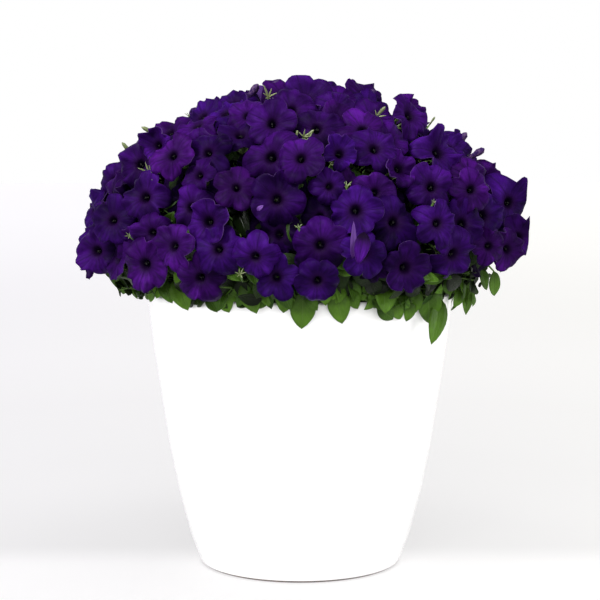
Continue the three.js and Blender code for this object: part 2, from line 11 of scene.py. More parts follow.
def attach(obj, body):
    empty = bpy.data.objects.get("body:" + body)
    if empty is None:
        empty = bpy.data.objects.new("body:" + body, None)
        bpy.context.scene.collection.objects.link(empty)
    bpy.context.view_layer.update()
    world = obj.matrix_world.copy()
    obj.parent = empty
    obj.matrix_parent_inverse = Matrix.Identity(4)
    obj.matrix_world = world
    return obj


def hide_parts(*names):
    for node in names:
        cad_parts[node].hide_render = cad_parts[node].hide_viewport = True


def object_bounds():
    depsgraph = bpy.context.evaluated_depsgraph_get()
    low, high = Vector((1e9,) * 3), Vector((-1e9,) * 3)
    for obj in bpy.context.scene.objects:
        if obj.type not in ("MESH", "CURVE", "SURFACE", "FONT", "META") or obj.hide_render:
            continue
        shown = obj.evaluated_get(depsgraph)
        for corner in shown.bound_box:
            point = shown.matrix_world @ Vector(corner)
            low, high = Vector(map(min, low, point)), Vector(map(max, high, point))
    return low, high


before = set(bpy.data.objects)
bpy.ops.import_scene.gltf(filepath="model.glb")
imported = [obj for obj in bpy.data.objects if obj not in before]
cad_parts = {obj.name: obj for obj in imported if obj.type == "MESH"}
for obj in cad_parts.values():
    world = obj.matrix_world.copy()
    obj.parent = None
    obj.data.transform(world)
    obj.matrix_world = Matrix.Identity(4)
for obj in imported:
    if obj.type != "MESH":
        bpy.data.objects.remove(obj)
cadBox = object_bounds()
scene = bpy.context.scene
scene.view_settings.view_transform = "Standard"
scene.view_settings.look = "None"

mm = 0.001
fullTurn = 2 * math.pi
closeTogether = 1e-6     # corners nearer than this are one corner

print("camera and studio")

viewpoint = {
    "distance": 1.845,      # metres in front of the planter's axis
    "height": 0.456,
    "focal": 1604.0,        # of a level lens, in pixels of a picture 600 wide
    "axis": 299.5,          # where the planter's axis shows in that picture
    "horizon": 166.0,
    "sensor": 36.0,         # millimetres
}
pictureSize = 600
tiltDown = math.atan((pictureSize / 2 - viewpoint["horizon"]) / viewpoint["focal"])


def makeCamera():
    lens = bpy.data.cameras.new("camera")
    lens.sensor_width = viewpoint["sensor"]
    lens.lens = viewpoint["sensor"] * viewpoint["focal"] / math.cos(tiltDown) / pictureSize
    camera = bpy.data.objects.new("camera", lens)
    camera.location = (0.0, -viewpoint["distance"], viewpoint["height"])
    camera.rotation_euler = (math.pi / 2 - tiltDown, 0.0, 0.0)
    scene.collection.objects.link(camera)
    scene.camera = camera


studio = {
    "backdrop": (1.0, 1.0, 1.0, 1.0),    # what the camera sees behind the floor
    "skyLow": (0.86, 0.86, 0.86, 1.0),   # light from near the horizon
    "skyHigh": (0.42, 0.42, 0.43, 1.0),  # light from overhead
    "skyRise": (0.14, 0.50),             # how high the first begins to turn into the second, and ends
    "panels": [  # name, place, width, height, watts, and what is lit by it
        ("keyPanel", (-1.25, -1.3, 2.0), 0.6, 0.6, 92.0, "plant"),
        ("sidePanel", (1.65, -1.1, 1.5), 0.6, 0.6, 36.0, "plant"),
        ("leftPanel", (-2.3, -0.7, 0.45), 0.9, 1.3, 26.0, "planter"),
        ("rightPanel", (2.3, -0.7, 0.45), 0.9, 1.3, 26.0, "planter"),
        ("frontPanel", (-0.3, -2.8, 1.1), 2.6, 1.4, 50.0, "all"),
        ("topPanel", (0.3, 0.2, 2.2), 2.4, 2.4, 30.0, "ground"),
    ],
    "aim": (0.0, 0.0, 0.36),
    "floorRadius": 40.0,
    "floorSegments": 64,
    "floorSides": (  # a trace of lilac on the left, and of cream on the right
        (0.965, 0.950, 0.980, 1.0), (1.0, 0.993, 0.968, 1.0),
    ),
    "floorPale": 0.40,
    "floorGlow": [  # distance in metres and how much the floor glows there
        (0.32, 0.485), (0.7, 0.52), (1.3, 0.57), (2.1, 0.645),
        (3.6, 0.70), (6.9, 0.76), (11.7, 0.785), (40.0, 0.80),
    ],
    "glowScale": (0.5, 2.11),            # added to a distance's logarithm, and what the sum is divided by
    "floorGlowFront": 0.62,              # in front of the planter
    "frontEnds": (0.45, 0.57),           # where that ends, in metres of depth and a half more
}


def makeSky():
    world = bpy.data.worlds.new("studioSky")
    scene.world = world
    world.use_nodes = True
    nodes, links = world.node_tree.nodes, world.node_tree.links
    parts = nodes.new("ShaderNodeSeparateXYZ")
    links.new(nodes.new("ShaderNodeTexCoord").outputs["Generated"], parts.inputs[0])
    rise = nodes.new("ShaderNodeValToRGB")
    for element, place, colour in zip(rise.color_ramp.elements, studio["skyRise"], ("skyLow", "skyHigh")):
        element.position, element.color = place, studio[colour]
    links.new(parts.outputs[2], rise.inputs[0])
    seen = nodes.new("ShaderNodeMix")
    seen.data_type = "RGBA"
    links.new(nodes.new("ShaderNodeLightPath").outputs["Is Camera Ray"], seen.inputs[0])
    links.new(rise.outputs[0], seen.inputs[6])
    seen.inputs[7].default_value = studio["backdrop"]
    links.new(seen.outputs[2], nodes["Background"].inputs["Color"])


# the pieces that have panels of their own
litByPanels = {name: bpy.data.collections.new(name + "Panels") for name in ("plant", "planter", "ground")}


def makeLights():
    for name, place, width, height, watts, lit in studio["panels"]:
        light = bpy.data.lights.new(name, "AREA")
        light.shape = "RECTANGLE"
        light.size = width
        light.size_y = height
        light.energy = watts
        panel = bpy.data.objects.new(name, light)
        panel.location = place
        towards = Vector(studio["aim"]) - Vector(place)
        panel.rotation_euler = towards.to_track_quat("-Z", "Y").to_euler()
        scene.collection.objects.link(panel)
        if lit in litByPanels:
            panel.light_linking.receiver_collection = litByPanels[lit]


makeSky()
makeCamera()
makeLights()

print("materials")


class Paint:
    # a principled material and short ways to add its nodes

    def __init__(self, name, roughness=0.5):
        self.material = bpy.data.materials.new(name)
        self.material.use_nodes = True
        self.tree = self.material.node_tree
        self.shader = self.tree.nodes["Principled BSDF"]
        self.shader.inputs["Roughness"].default_value = roughness

    def put(self, socket, value):
        self.shader.inputs[socket].default_value = value

    def node(self, kind, **inputs):
        made = self.tree.nodes.new(kind)
        for name, value in inputs.items():
            self.feed(made.inputs[name.replace("_", " ")], value)
        return made

    def feed(self, socket, value):
        if isinstance(value, bpy.types.NodeSocket):
            self.tree.links.new(value, socket)
        else:
            socket.default_value = value

    def maths(self, operation, *values, clamp=False):
        made = self.tree.nodes.new("ShaderNodeMath")
        made.operation = operation
        made.use_clamp = clamp
        for socket, value in zip(made.inputs, values):
            self.feed(socket, value)
        return made.outputs[0]

    def plus(self, first, second, clamp=False):
        return self.maths("ADD", first, second, clamp=clamp)

    def less(self, first, second, clamp=False):
        return self.maths("SUBTRACT", first, second, clamp=clamp)

    def times(self, first, second):
        return self.maths("MULTIPLY", first, second)

    def fromHalf(self, value):
        # how far a value is from a half
        return self.maths("ABSOLUTE", self.less(value, 0.5))

    def blend(self, share, low, high, kind="MIX"):
        made = self.tree.nodes.new("ShaderNodeMix")
        made.data_type = "RGBA"
        made.blend_type = kind
        self.feed(made.inputs[0], share)
        self.feed(made.inputs[6], low)
        self.feed(made.inputs[7], high)
        return made.outputs[2]

    def tinted(self, body, tint):
        return self.blend(1.0, body, tint, "MULTIPLY")

    def ramp(self, share, *stops, smooth=True):
        made = self.tree.nodes.new("ShaderNodeValToRGB")
        made.color_ramp.interpolation = "EASE" if smooth else "LINEAR"
        while len(made.color_ramp.elements) < len(stops):
            made.color_ramp.elements.new(0.5)
        for element, (place, colour) in zip(made.color_ramp.elements, stops):
            element.position = place
            element.color = colour
        self.feed(made.inputs[0], share)
        return made.outputs[0]

    def greyRamp(self, share, *stops, smooth=True):
        return self.ramp(share, *[(place, grey(value)) for place, value in stops], smooth=smooth)

    def place(self):
        return self.tree.nodes.new("ShaderNodeTexCoord").outputs["Object"]

    def partsOf(self, vector):
        parts = self.tree.nodes.new("ShaderNodeSeparateXYZ")
        self.feed(parts.inputs[0], vector)
        return parts.outputs

    def grains(self, size, detail=3.0, place=None):
        made = self.node("ShaderNodeTexNoise", Scale=size, Detail=detail)
        self.feed(made.inputs["Vector"], self.place() if place is None else place)
        return made.outputs[0]

    def clouds(self, size, *stops):
        # grey grains of a size, with their ramp's places and how light they are there
        return self.greyRamp(self.grains(size), *stops)

    def map(self, name):
        made = self.tree.nodes.new("ShaderNodeUVMap")
        made.uv_map = name
        across, along, _ = self.partsOf(made.outputs[0])
        return across, along

    def tone(self, name):
        made = self.tree.nodes.new("ShaderNodeAttribute")
        made.attribute_name = name
        return made.outputs["Fac"]

    def bump(self, height, strength, distance):
        made = self.node("ShaderNodeBump", Strength=strength, Distance=distance, Height=height)
        self.feed(self.shader.inputs["Normal"], made.outputs[0])

    def colour(self, value):
        self.feed(self.shader.inputs["Base Color"], value)

    def rough(self, value):
        self.feed(self.shader.inputs["Roughness"], value)


def rgb(red, green, blue):
    return (red, green, blue, 1.0)


def grey(value):
    return rgb(value, value, value)


petalPaint = {
    "throat": rgb(0.004, 0.001, 0.008),
    "inner": rgb(0.009, 0.0012, 0.022),
    "blue": rgb(0.0150, 0.0016, 0.0600),
    "violet": rgb(0.0248, 0.0020, 0.0615),
    "vein": rgb(0.008, 0.0010, 0.024),
    "back": rgb(0.052, 0.019, 0.110),
    "backVein": rgb(0.026, 0.0075, 0.062),
    "backPale": rgb(0.230, 0.100, 0.420),
    # painted backlight of the petal rims: lighter, as if light shone through the thin edge
    "edge": rgb(0.060, 0.026, 0.105),
    "sheen": rgb(0.25, 0.06, 0.70),
    "backSheen": rgb(0.40, 0.20, 0.80),
}
# patterns are a grain size, and then places of a ramp with how light it is there
petalFinish = {
    "clouds": (55.0, (0.3, 0.62), (0.7, 1.25)),
    "patches": (17.0, (0.35, 0.62), (0.65, 1.40)),
    "roughness": (900.0, (0.2, 0.44), (0.8, 0.62)),
    "streaks": (6.0, 1.6),                 # how close they stand, across and along a petal
    "inner": ((0.14, 1.0), (0.60, 0.0)),   # where the dark heart ends, from the throat outwards
    "deep": ((0.13, 1.0), (0.33, 0.0)),
    "tube": ((0.15, 0.7), (0.5, 0.0)),
    "ribs": 26.0,                          # how thin the midribs are
    "fan": 7.0,                            # how many finer veins a petal has, and how thin they are
    "fineVeins": 0.6,                      # how much fainter they are
    "wobble": 0.3,                         # how far they waver
    "veins": 0.80,                         # how strongly all of them show
}
paintedShade = 0.90     # painted shade: how much darker petals and leaves are painted deep inside the dome


def petalVeins(paint):
    # a midrib in each petal and finer veins that fan out beside it
    across, along = paint.map("petalMap")
    part = paint.less(paint.maths("FRACT", across), 0.5)
    spread = paint.maths("ABSOLUTE", part)
    wobble = paint.times(paint.less(paint.grains(160.0), 0.5), petalFinish["wobble"])
    rib = paint.less(1.0, paint.times(spread, petalFinish["ribs"]), clamp=True)
    fanned = paint.plus(paint.times(part, petalFinish["fan"]), wobble)
    side = paint.fromHalf(paint.maths("FRACT", fanned))
    fine = paint.less(1.0, paint.times(side, petalFinish["fan"]), clamp=True)
    faint = paint.times(fine, paint.less(1.15, along, clamp=True))
    return along, paint.maths("MAXIMUM", rib, paint.times(faint, petalFinish["fineVeins"]))


def streaks(paint):
    # soft dark and light streaks that run from the throat to the edge
    across, along = paint.map("petalMap")
    wide, long = petalFinish["streaks"]
    place = paint.node("ShaderNodeCombineXYZ", X=paint.times(across, wide), Y=paint.times(along, long))
    return paint.greyRamp(paint.grains(1.3, 2.0, place.outputs[0]), (0.30, 0.70), (0.70, 1.22))


# the painted shade, read from the depth attribute: darker deeper in the dome
def paintedShadeOf(paint):
    return paint.greyRamp(paint.tone("depth"), (0.0, 1.0), (1.0, 1.0 - paintedShade), smooth=False)


def makePetalFace():
    paint = Paint("petalFace")
    along, veins = petalVeins(paint)
    limb = paint.blend(paint.tone("tone"), petalPaint["blue"], petalPaint["violet"])
    cloudy = paint.clouds(*petalFinish["clouds"])
    limb = paint.tinted(limb, paint.tinted(cloudy, paint.clouds(*petalFinish["patches"])))
    # painted shade: the petal face is darker deep inside the dome
    limb = paint.tinted(paint.tinted(limb, streaks(paint)), paintedShadeOf(paint))
    limb = paint.blend(paint.times(veins, petalFinish["veins"]), limb, petalPaint["vein"])
    limb = paint.blend(paint.greyRamp(along, *petalFinish["inner"]), limb, petalPaint["inner"])
    limb = paint.blend(paint.greyRamp(along, *petalFinish["deep"]), limb, petalPaint["throat"])
    paint.colour(limb)
    paint.rough(paint.clouds(*petalFinish["roughness"]))
    paint.put("Sheen Weight", 0.03)
    paint.put("Sheen Roughness", 0.35)
    paint.put("Sheen Tint", petalPaint["sheen"])
    paint.put("Specular IOR Level", 0.018)
    paint.bump(paint.less(paint.times(paint.grains(420.0), 0.5), paint.times(veins, 0.6)), 0.5, 0.0007)
    return paint.material


def makePetalBack():
    paint = Paint("petalBack", 0.6)
    along, veins = petalVeins(paint)
    body = paint.blend(paint.tone("tone"), petalPaint["back"], petalPaint["backVein"])
    pale = paint.less(paint.tone("tone"), 1.0, clamp=True)    # only a folded petal's tone is above 1
    body = paint.blend(pale, body, petalPaint["backPale"])
    body = paint.blend(paint.times(veins, petalFinish["veins"]), body, petalPaint["backVein"])
    body = paint.blend(paint.greyRamp(along, *petalFinish["tube"]), body, petalPaint["violet"])
    # painted shade: the petal back is darker deep inside the dome
    paint.colour(paint.tinted(body, paintedShadeOf(paint)))
    paint.put("Sheen Weight", 0.05)
    paint.put("Sheen Tint", petalPaint["backSheen"])
    paint.put("Specular IOR Level", 0.08)
    paint.bump(veins, 0.5, 0.0006)
    return paint.material


# the petals' rim faces: lighter than the petal face, a painted backlight where light would shine through
# the thin edge
def makeBacklitPetalEdge():
    paint = Paint("backlitPetalEdge", 0.6)
    paint.put("Specular IOR Level", 0.1)
    body = paint.ramp(paint.grains(300.0), (0.3, petalPaint["back"]), (0.75, petalPaint["edge"]))
    # the painted backlight, darkened by the painted shade deep in the dome
    paint.colour(paint.tinted(body, paintedShadeOf(paint)))
    return paint.material


leafPaint = {
    "deep": rgb(0.011, 0.034, 0.003),
    "fresh": rgb(0.070, 0.155, 0.012),
    "vein": rgb(0.080, 0.150, 0.028),
    "back": rgb(0.055, 0.095, 0.024),
    "stem": rgb(0.080, 0.140, 0.030),
    "stemDark": rgb(0.035, 0.070, 0.015),
    "sepal": rgb(0.060, 0.085, 0.022),
    "sepalTip": rgb(0.150, 0.150, 0.075),
    "bud": rgb(0.016, 0.0035, 0.048),
    "budFold": rgb(0.075, 0.040, 0.090),
}
leafFinish = {
    "mottle": (90.0, (0.3, 0.82), (0.7, 1.15)),
    "roughness": (500.0, (0.25, 0.34), (0.75, 0.52)),
    "paintedBaseShade": ((0.10, 0.42), (0.75, 1.10)),    # darker near the base: painted shade where the leaves above cover it
    "rib": 22.0,                                 # how thin the midrib is
    "pairs": 7.0,                                # how many pairs of side veins there are
    "slant": 4.5,
    "sideVein": 9.0,                             # how thin those are
    "sideVeins": 0.45,                           # how much fainter they are
    "veins": 0.55,                               # how strongly all of them show on the face
    "backVeins": 0.6,
}


def leafVeins(paint):
    across, along = paint.map("leafMap")
    offset = paint.fromHalf(across)
    rib = paint.less(1.0, paint.times(offset, leafFinish["rib"]), clamp=True)
    slanted = paint.less(paint.times(along, leafFinish["pairs"]), paint.times(offset, leafFinish["slant"]))
    pair = paint.fromHalf(paint.maths("FRACT", slanted))
    sides = paint.less(1.0, paint.times(pair, leafFinish["sideVein"]), clamp=True)
    return along, paint.maths("MAXIMUM", rib, paint.times(sides, leafFinish["sideVeins"]))


def makeLeafFace():
    paint = Paint("leafFace")
    along, veins = leafVeins(paint)
    body = paint.blend(paint.tone("tone"), leafPaint["deep"], leafPaint["fresh"])
    body = paint.tinted(body, paint.clouds(*leafFinish["mottle"]))
    body = paint.blend(paint.times(veins, leafFinish["veins"]), body, leafPaint["vein"])
    # painted shade near the leaf's base
    body = paint.tinted(body, paint.greyRamp(along, *leafFinish["paintedBaseShade"]))
    # painted shade: the leaf face is darker deep inside the dome
    paint.colour(paint.tinted(body, paintedShadeOf(paint)))
    paint.rough(paint.clouds(*leafFinish["roughness"]))
    paint.put("Specular IOR Level", 0.11)
    paint.bump(paint.plus(paint.times(paint.grains(650.0), 0.35), paint.times(veins, -0.8)), 0.6, 0.0009)
    return paint.material


def makeLeafBack():
    paint = Paint("leafBack", 0.6)
    _, veins = leafVeins(paint)
    body = paint.blend(paint.grains(120.0), leafPaint["back"], leafPaint["fresh"])
    body = paint.blend(paint.times(veins, leafFinish["backVeins"]), body, leafPaint["vein"])
    # painted shade: the leaf back is darker deep inside the dome
    paint.colour(paint.tinted(body, paintedShadeOf(paint)))
    paint.put("Specular IOR Level", 0.07)
    paint.bump(veins, 0.6, 0.0009)
    return paint.material


def makeSepalSkin():
    paint = Paint("sepalSkin")
    body = paint.blend(paint.tone("tone"), leafPaint["stem"], leafPaint["sepalTip"])
    paint.colour(paint.blend(paint.grains(260.0), body, leafPaint["sepal"]))
    paint.bump(paint.grains(1200.0), 0.4, 0.0006)
    return paint.material


def makeGrained(name, roughness, size, stops, specular, bump):
    # a material of two colours in grains, with finer grains that stand out
    paint = Paint(name, roughness)
    paint.colour(paint.ramp(paint.grains(size), *stops))
    paint.put("Specular IOR Level", specular)
    bumpSize, strength, distance = bump
    paint.bump(paint.grains(bumpSize), strength, distance)
    return paint.material


def makeStemSkin():
    stops = (0.3, leafPaint["stemDark"]), (0.7, leafPaint["stem"])
    return makeGrained("stemSkin", 0.5, 180.0, stops, 0.1, (1400.0, 0.4, 0.0006))


def makeBudSkin():
    stops = (0.35, leafPaint["bud"]), (0.75, leafPaint["budFold"])
    return makeGrained("budSkin", 0.55, 330.0, stops, 0.1, (900.0, 0.4, 0.0006))


def makeStamenSkin():
    stops = (0.3, rgb(0.004, 0.004, 0.005)), (0.7, rgb(0.014, 0.014, 0.012))
    return makeGrained("stamenSkin", 0.6, 700.0, stops, 0.1, (2500.0, 0.5, 0.0004))


def makeSoilCrumb():
    stops = (0.3, rgb(0.012, 0.008, 0.006)), (0.7, rgb(0.075, 0.045, 0.028))
    return makeGrained("soilCrumb", 0.95, 240.0, stops, 0.5, (500.0, 1.0, 0.002))


def makePerlite():
    stops = (0.3, grey(0.45)), (0.7, grey(0.82))
    return makeGrained("perlite", 0.9, 400.0, stops, 0.5, (900.0, 0.8, 0.001))


planterPaint = {
    "glaze": ((0.3, rgb(0.885, 0.885, 0.885)), (0.7, rgb(0.915, 0.912, 0.905))),
    # the dark reddish band of the foot is painted contact shadow where the planter stands on the floor
    "footShadow": ((0.3, rgb(0.050, 0.030, 0.028)), (0.7, rgb(0.110, 0.070, 0.060))),
    "footShadowTo": ((0.20, 1.0), (0.30, 0.0)),     # how high the painted contact shadow at the foot goes, in centimetres
    "roughness": (26.0, (0.3, 0.07), (0.7, 0.13)),
    "coat": 0.5,
    "coatRoughness": 0.04,
}


def makePlanterGloss():
    paint = Paint("planterGloss")
    cast = paint.ramp(paint.grains(3.0), *planterPaint["glaze"])
    # painted contact shadow: a dark band over the lowest millimetres of the foot
    height = paint.times(paint.partsOf(paint.place())[2], 100.0)
    bare = paint.greyRamp(height, *planterPaint["footShadowTo"])
    paint.colour(paint.blend(bare, cast, paint.ramp(paint.grains(150.0), *planterPaint["footShadow"])))
    paint.rough(paint.clouds(*planterPaint["roughness"]))
    paint.put("Coat Weight", planterPaint["coat"])
    paint.put("Coat Roughness", planterPaint["coatRoughness"])
    paint.bump(paint.grains(9.0, 1.0), 0.05, 0.002)
    return paint.material


def makeFloorPaint():
    # the glow follows the logarithm of the distance from the planter's axis
    paint = Paint("floorPaint", 0.6)
    place = paint.place()
    sideways, depth, _ = paint.partsOf(place)
    measured = paint.node("ShaderNodeVectorMath")
    measured.operation = "LENGTH"
    paint.feed(measured.inputs[0], place)
    added, span = studio["glowScale"]
    away = paint.plus(paint.maths("LOGARITHM", measured.outputs["Value"], 10.0), added)
    stops = [((math.log10(distance) + added) / span, value) for distance, value in studio["floorGlow"]]
    glow = paint.greyRamp(paint.maths("DIVIDE", away, span), *stops, smooth=False)
    tint = paint.blend(paint.plus(paint.times(sideways, 0.5), 0.5, clamp=True), *studio["floorSides"])
    frontEnd, backStart = studio["frontEnds"]
    behind = paint.greyRamp(paint.plus(depth, 0.5), (frontEnd, 0.0), (backStart, 1.0))
    glow = paint.blend(behind, grey(studio["floorGlowFront"]), glow)
    paint.colour(paint.tinted(grey(studio["floorPale"]), tint))
    paint.put("Specular IOR Level", 0.1)
    paint.feed(paint.shader.inputs["Emission Color"], paint.tinted(glow, tint))
    paint.put("Emission Strength", 1.0)
    return paint.material


print("floor")


def makePiece(name, bm, materials, smooth=True):
    mesh = bpy.data.meshes.new(name)
    for face in bm.faces:
        face.smooth = smooth
    bm.to_mesh(mesh)
    bm.free()
    for material in materials:
        mesh.materials.append(material)
    piece = bpy.data.objects.new(name, mesh)
    scene.collection.objects.link(piece)
    return piece


def makeFloor():
    bm = bmesh.new()
    segments, radius = studio["floorSegments"], studio["floorRadius"]
    bmesh.ops.create_circle(bm, cap_ends=True, segments=segments, radius=radius)
    floor = makePiece("studioFloor", bm, [makeFloorPaint()])
    litByPanels["ground"].objects.link(floor)


makeFloor()

print("planter")


def spunShape(outline, steps):
    # turns an outline of (radius, height) pairs about the vertical axis
    bm = bmesh.new()
    points = [bm.verts.new((radius, 0.0, height)) for radius, height in outline]
    edges = [bm.edges.new(pair) for pair in zip(points, points[1:])]
    bmesh.ops.spin(
        bm, geom=points + edges, cent=(0, 0, 0), axis=(0, 0, 1), angle=fullTurn, steps=steps,
        use_merge=True,
    )
    bmesh.ops.remove_doubles(bm, verts=bm.verts, dist=closeTogether)
    bmesh.ops.recalc_face_normals(bm, faces=bm.faces)
    return bm


planter = {  # in millimetres
    "outside": [(112, 0), (117, 5), (128, 37), (141, 88), (151, 140), (159, 192), (167, 244), (174, 300)],
    "inside": [(170, 313), (146, 140), (123, 37), (114, 8), (0, 8)],
    "rim": (175, 313),
    "lip": 2.0,            # how round the rim's edges are
    "edge": 0.8,           # and the other edges
    "sharp": 0.5,          # in radians: a ring that bends more is an edge
    "wallSteps": 128,
}


def isSharpRing(edge):
    low, high = edge.verts
    return abs(low.co.z - high.co.z) < closeTogether and edge.calc_face_angle(0.0) > planter["sharp"]


def makePlanter():
    radius, height = planter["rim"]
    rim = [(radius, height - planter["lip"]), (radius - planter["lip"], height)]
    outline = [(0, 0)] + planter["outside"] + rim + planter["inside"]
    bm = spunShape([(radius * mm, height * mm) for radius, height in outline], planter["wallSteps"])
    rings = [edge for edge in bm.edges if isSharpRing(edge)]
    bmesh.ops.bevel(
        bm, geom=rings, offset=planter["edge"] * mm, segments=3, affect="EDGES", profile=0.5, material=-1,
    )
    shell = makePiece("planterShell", bm, [makePlanterGloss()])
    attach(shell, "root")
    litByPanels["planter"].objects.link(shell)
    litByPanels["ground"].objects.link(shell)
    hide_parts("planter")


makePlanter()

print("where the blooms are")

petalCount = 5
dome = {  # in millimetres, and shares of a bloom's radius
    "centreZ": 362.0, "radius": 246.0, "height": 178.0,     # the ellipsoid that the blooms lie on
    "lowest": 342.0,                    # no bloom is centred lower
    "bloomRadius": 27.0, "clearance": 1.3,
    "lifts": [0, 6, -7, 12, -14, -21, -28],                 # how far out a bloom may stand, tried in turn
    "shrunk": 0.86,                     # its size at the second try
    "leanOut": 0.6, "leanFrom": 100.0, "facing": 0.9, "tilt": 0.42,
    "backFrom": 0.1,                    # how far back on the unit sphere the back begins
    "tube": 0.95, "throatAt": 0.2, "throatHeight": -0.12, "deepest": -0.45,
    "backAt": 0.15, "backHeight": -0.42,
    "reach": 2.4,                       # blooms further apart than their radii times this can't touch
    "tubeProbes": (0.5, 0.7, 0.9, 1.15, 1.4), "limbProbes": (1, 0.8, 0.6, 0.4), "probeTurns": 12,
    "seed": 20261,
    "fill": {                           # the blooms that fill the rest of the dome
        "tries": 560, "spacing": 40.0, "size": (0.9, 0.2), "turn": 0.0,
        "facing": 0.0, "backFacing": 0.0, "offLeaves": False,
    },
}

# the middle and width of each bloom that shows from the usual side, in that picture
frontBlooms = [
    [304, 100, 54], [270, 157, 56], [277, 200, 54], [300, 166, 46], [137, 160, 50], [178, 163, 44],
    [207, 152, 46], [144, 197, 50], [187, 205, 46], [161, 150, 38], [106, 180, 44], [194, 125, 44],
    [226, 112, 46], [238, 98, 40], [272, 129, 46], [316, 129, 48], [215, 182, 40], [238, 190, 42],
    [112, 220, 44], [90, 236, 40], [95, 258, 48], [144, 265, 52], [208, 222, 48], [219, 249, 48],
    [200, 279, 48], [147, 232, 42], [257, 257, 42], [276, 230, 46], [275, 277, 42], [320, 246, 54],
    [317, 284, 44], [362, 254, 46], [355, 211, 52], [377, 190, 48], [321, 209, 44], [438, 153, 54],
    [431, 187, 48], [401, 164, 44], [466, 222, 50], [505, 203, 50], [513, 238, 46], [454, 255, 52],
    [397, 220, 52], [430, 226, 42], [392, 104, 40], [412, 112, 42], [429, 124, 42], [361, 135, 46],
    [362, 92, 42], [332, 91, 42], [336, 108, 40], [372, 153, 46], [338, 158, 40], [471, 173, 42],
    [491, 174, 40], [462, 195, 42], [329, 187, 40], [405, 268, 52], [381, 263, 44], [487, 252, 40],
    [176, 246, 44], [248, 116, 42], [460, 141, 38], [350, 178, 38],
]

drawFactor, drawRange = 16807, 2147483647


def makeDraw(seed):
    # a plain seeded draw, the same on every machine
    state = [seed]

    def draw():
        state[0] = state[0] * drawFactor % drawRange
        return state[0] / drawRange

    return draw


def unitOf(vector):
    return vector / np.linalg.norm(vector)


def pointAround(radius, turn, height):
    return np.array((radius * math.cos(turn), radius * math.sin(turn), height))


def unitAt(turn, height):
    return pointAround(math.sqrt(1 - height * height), turn, height)


def heightAt(i, count, lowest):
    # evenly spread heights on the unit sphere, from its top down
    return 1 - ((i + 0.5) / count) * (1 - lowest)


nearlyUpright = 0.99


def frameOf(axis):
    # two directions at right angles to an axis, the second as near to straight up as can be
    if abs(axis[2]) > nearlyUpright:
        side = np.array((1.0, 0.0, 0.0))
    else:
        side = unitOf(np.cross((0.0, 0.0, 1.0), axis))
    return side, unitOf(np.cross(axis, side))


domeSize = np.array((dome["radius"], dome["radius"], dome["height"]))
domeCentre = np.array((0.0, 0.0, dome["centreZ"]))
eye = np.array((0.0, -viewpoint["distance"] / mm, viewpoint["height"] / mm))


def sightLine(u, v):
    focal = viewpoint["focal"]
    return np.array(((u - viewpoint["axis"]) / focal, 1.0, (viewpoint["horizon"] - v) / focal))


def sightOnDome(u, v):
    # where a line of sight meets the dome, as a direction of the unit sphere
    start = (eye - domeCentre) / domeSize
    step = sightLine(u, v) / domeSize
    a = step @ step
    b = start @ step
    c = start @ start - 1
    travel = (-b - math.sqrt(max(b * b - a * c, 0))) / a
    return unitOf(start + step * travel)


def frontHeight(share):
    return np.where(
        share < dome["throatAt"],
        dome["deepest"] + (dome["throatHeight"] - dome["deepest"]) * share / dome["throatAt"],
        dome["throatHeight"] * (1 - share) / (1 - dome["throatAt"]),
    )


def backHeight(share):
    return dome["backHeight"] * (1 - np.maximum(share, dome["backAt"])) / (1 - dome["backAt"])


def bloomAt(unit, radius, facing, draws):
    foot = domeCentre + domeSize * unit
    foot[2] = max(foot[2], dome["lowest"])
    normal = unitOf(unit / domeSize)
    away = max(math.hypot(foot[0], foot[1]), 1)
    lean = dome["leanOut"] * min(1, away / dome["leanFrom"]) / away
    axis = unitOf(normal + np.array((foot[0], foot[1], 0.0)) * lean + np.array((0.0, -facing, 0.0)))
    side, rise = frameOf(axis)
    sideways, upwards = (dome["tilt"] * (draw - 0.5) for draw in draws[1:3])
    axis = unitOf(axis + side * sideways + rise * upwards)
    return {"foot": foot, "normal": normal, "axis": axis, "radius": radius, "unit": unit,
            "spin": fullTurn * draws[3] / petalCount}


def probesOf(bloom):
    # points on a bloom's limb and tube that are tested against its neighbours
    side, rise = frameOf(bloom["axis"])
    radius, turns = bloom["radius"], dome["probeTurns"]
    probes = [bloom["centre"] - bloom["axis"] * (radius * share) for share in dome["tubeProbes"]]
    for turn in np.arange(turns) * (fullTurn / turns):
        out = side * math.cos(turn) + rise * math.sin(turn)
        for share in dome["limbProbes"]:
            for height in (float(frontHeight(share)), float(backHeight(share))):
                probes.append(bloom["centre"] + out * (share * radius) + bloom["axis"] * (height * radius))
    return np.array(probes)


def passes(probes, centre, axis, radius):
    # whether each set of probes lies on one side of a limb, and off its tube
    offset = probes - centre[:, None]
    height = (offset * axis[:, None]).sum(2)
    away = np.linalg.norm(offset - height[..., None] * axis[:, None], axis=2)
    radius = radius[:, None]
    gap = dome["clearance"]
    near = away <= radius + gap
    share = np.minimum(away / radius, 1)
    over = height > frontHeight(share) * radius + gap
    under = height < backHeight(share) * radius - gap
    onTube = (away < dome["backAt"] * radius + gap) & (height < 0) & (
        height > -(dome["tube"] + dome["backAt"]) * radius)
    blocked = near & (~(over | under) | onTube)
    return ~blocked.any(1) & ~((near & over).any(1) & (near & under).any(1))


def hasRoom(tried, placed):
    near = [other for other in placed if np.linalg.norm(other["centre"] - tried["centre"])
            <= dome["reach"] * (other["radius"] + tried["radius"])]
    if not near:
        return True
    centres, axes, radii, theirs = (
        np.array([other[key] for other in near]) for key in ("centre", "axis", "radius", "probes"))
    own, centre, axis = (np.repeat(tried[key][None], len(near), 0) for key in ("probes", "centre", "axis"))
    return passes(own, centres, axes, radii).all() and passes(
        theirs, centre, axis, np.full(len(near), tried["radius"])).all()


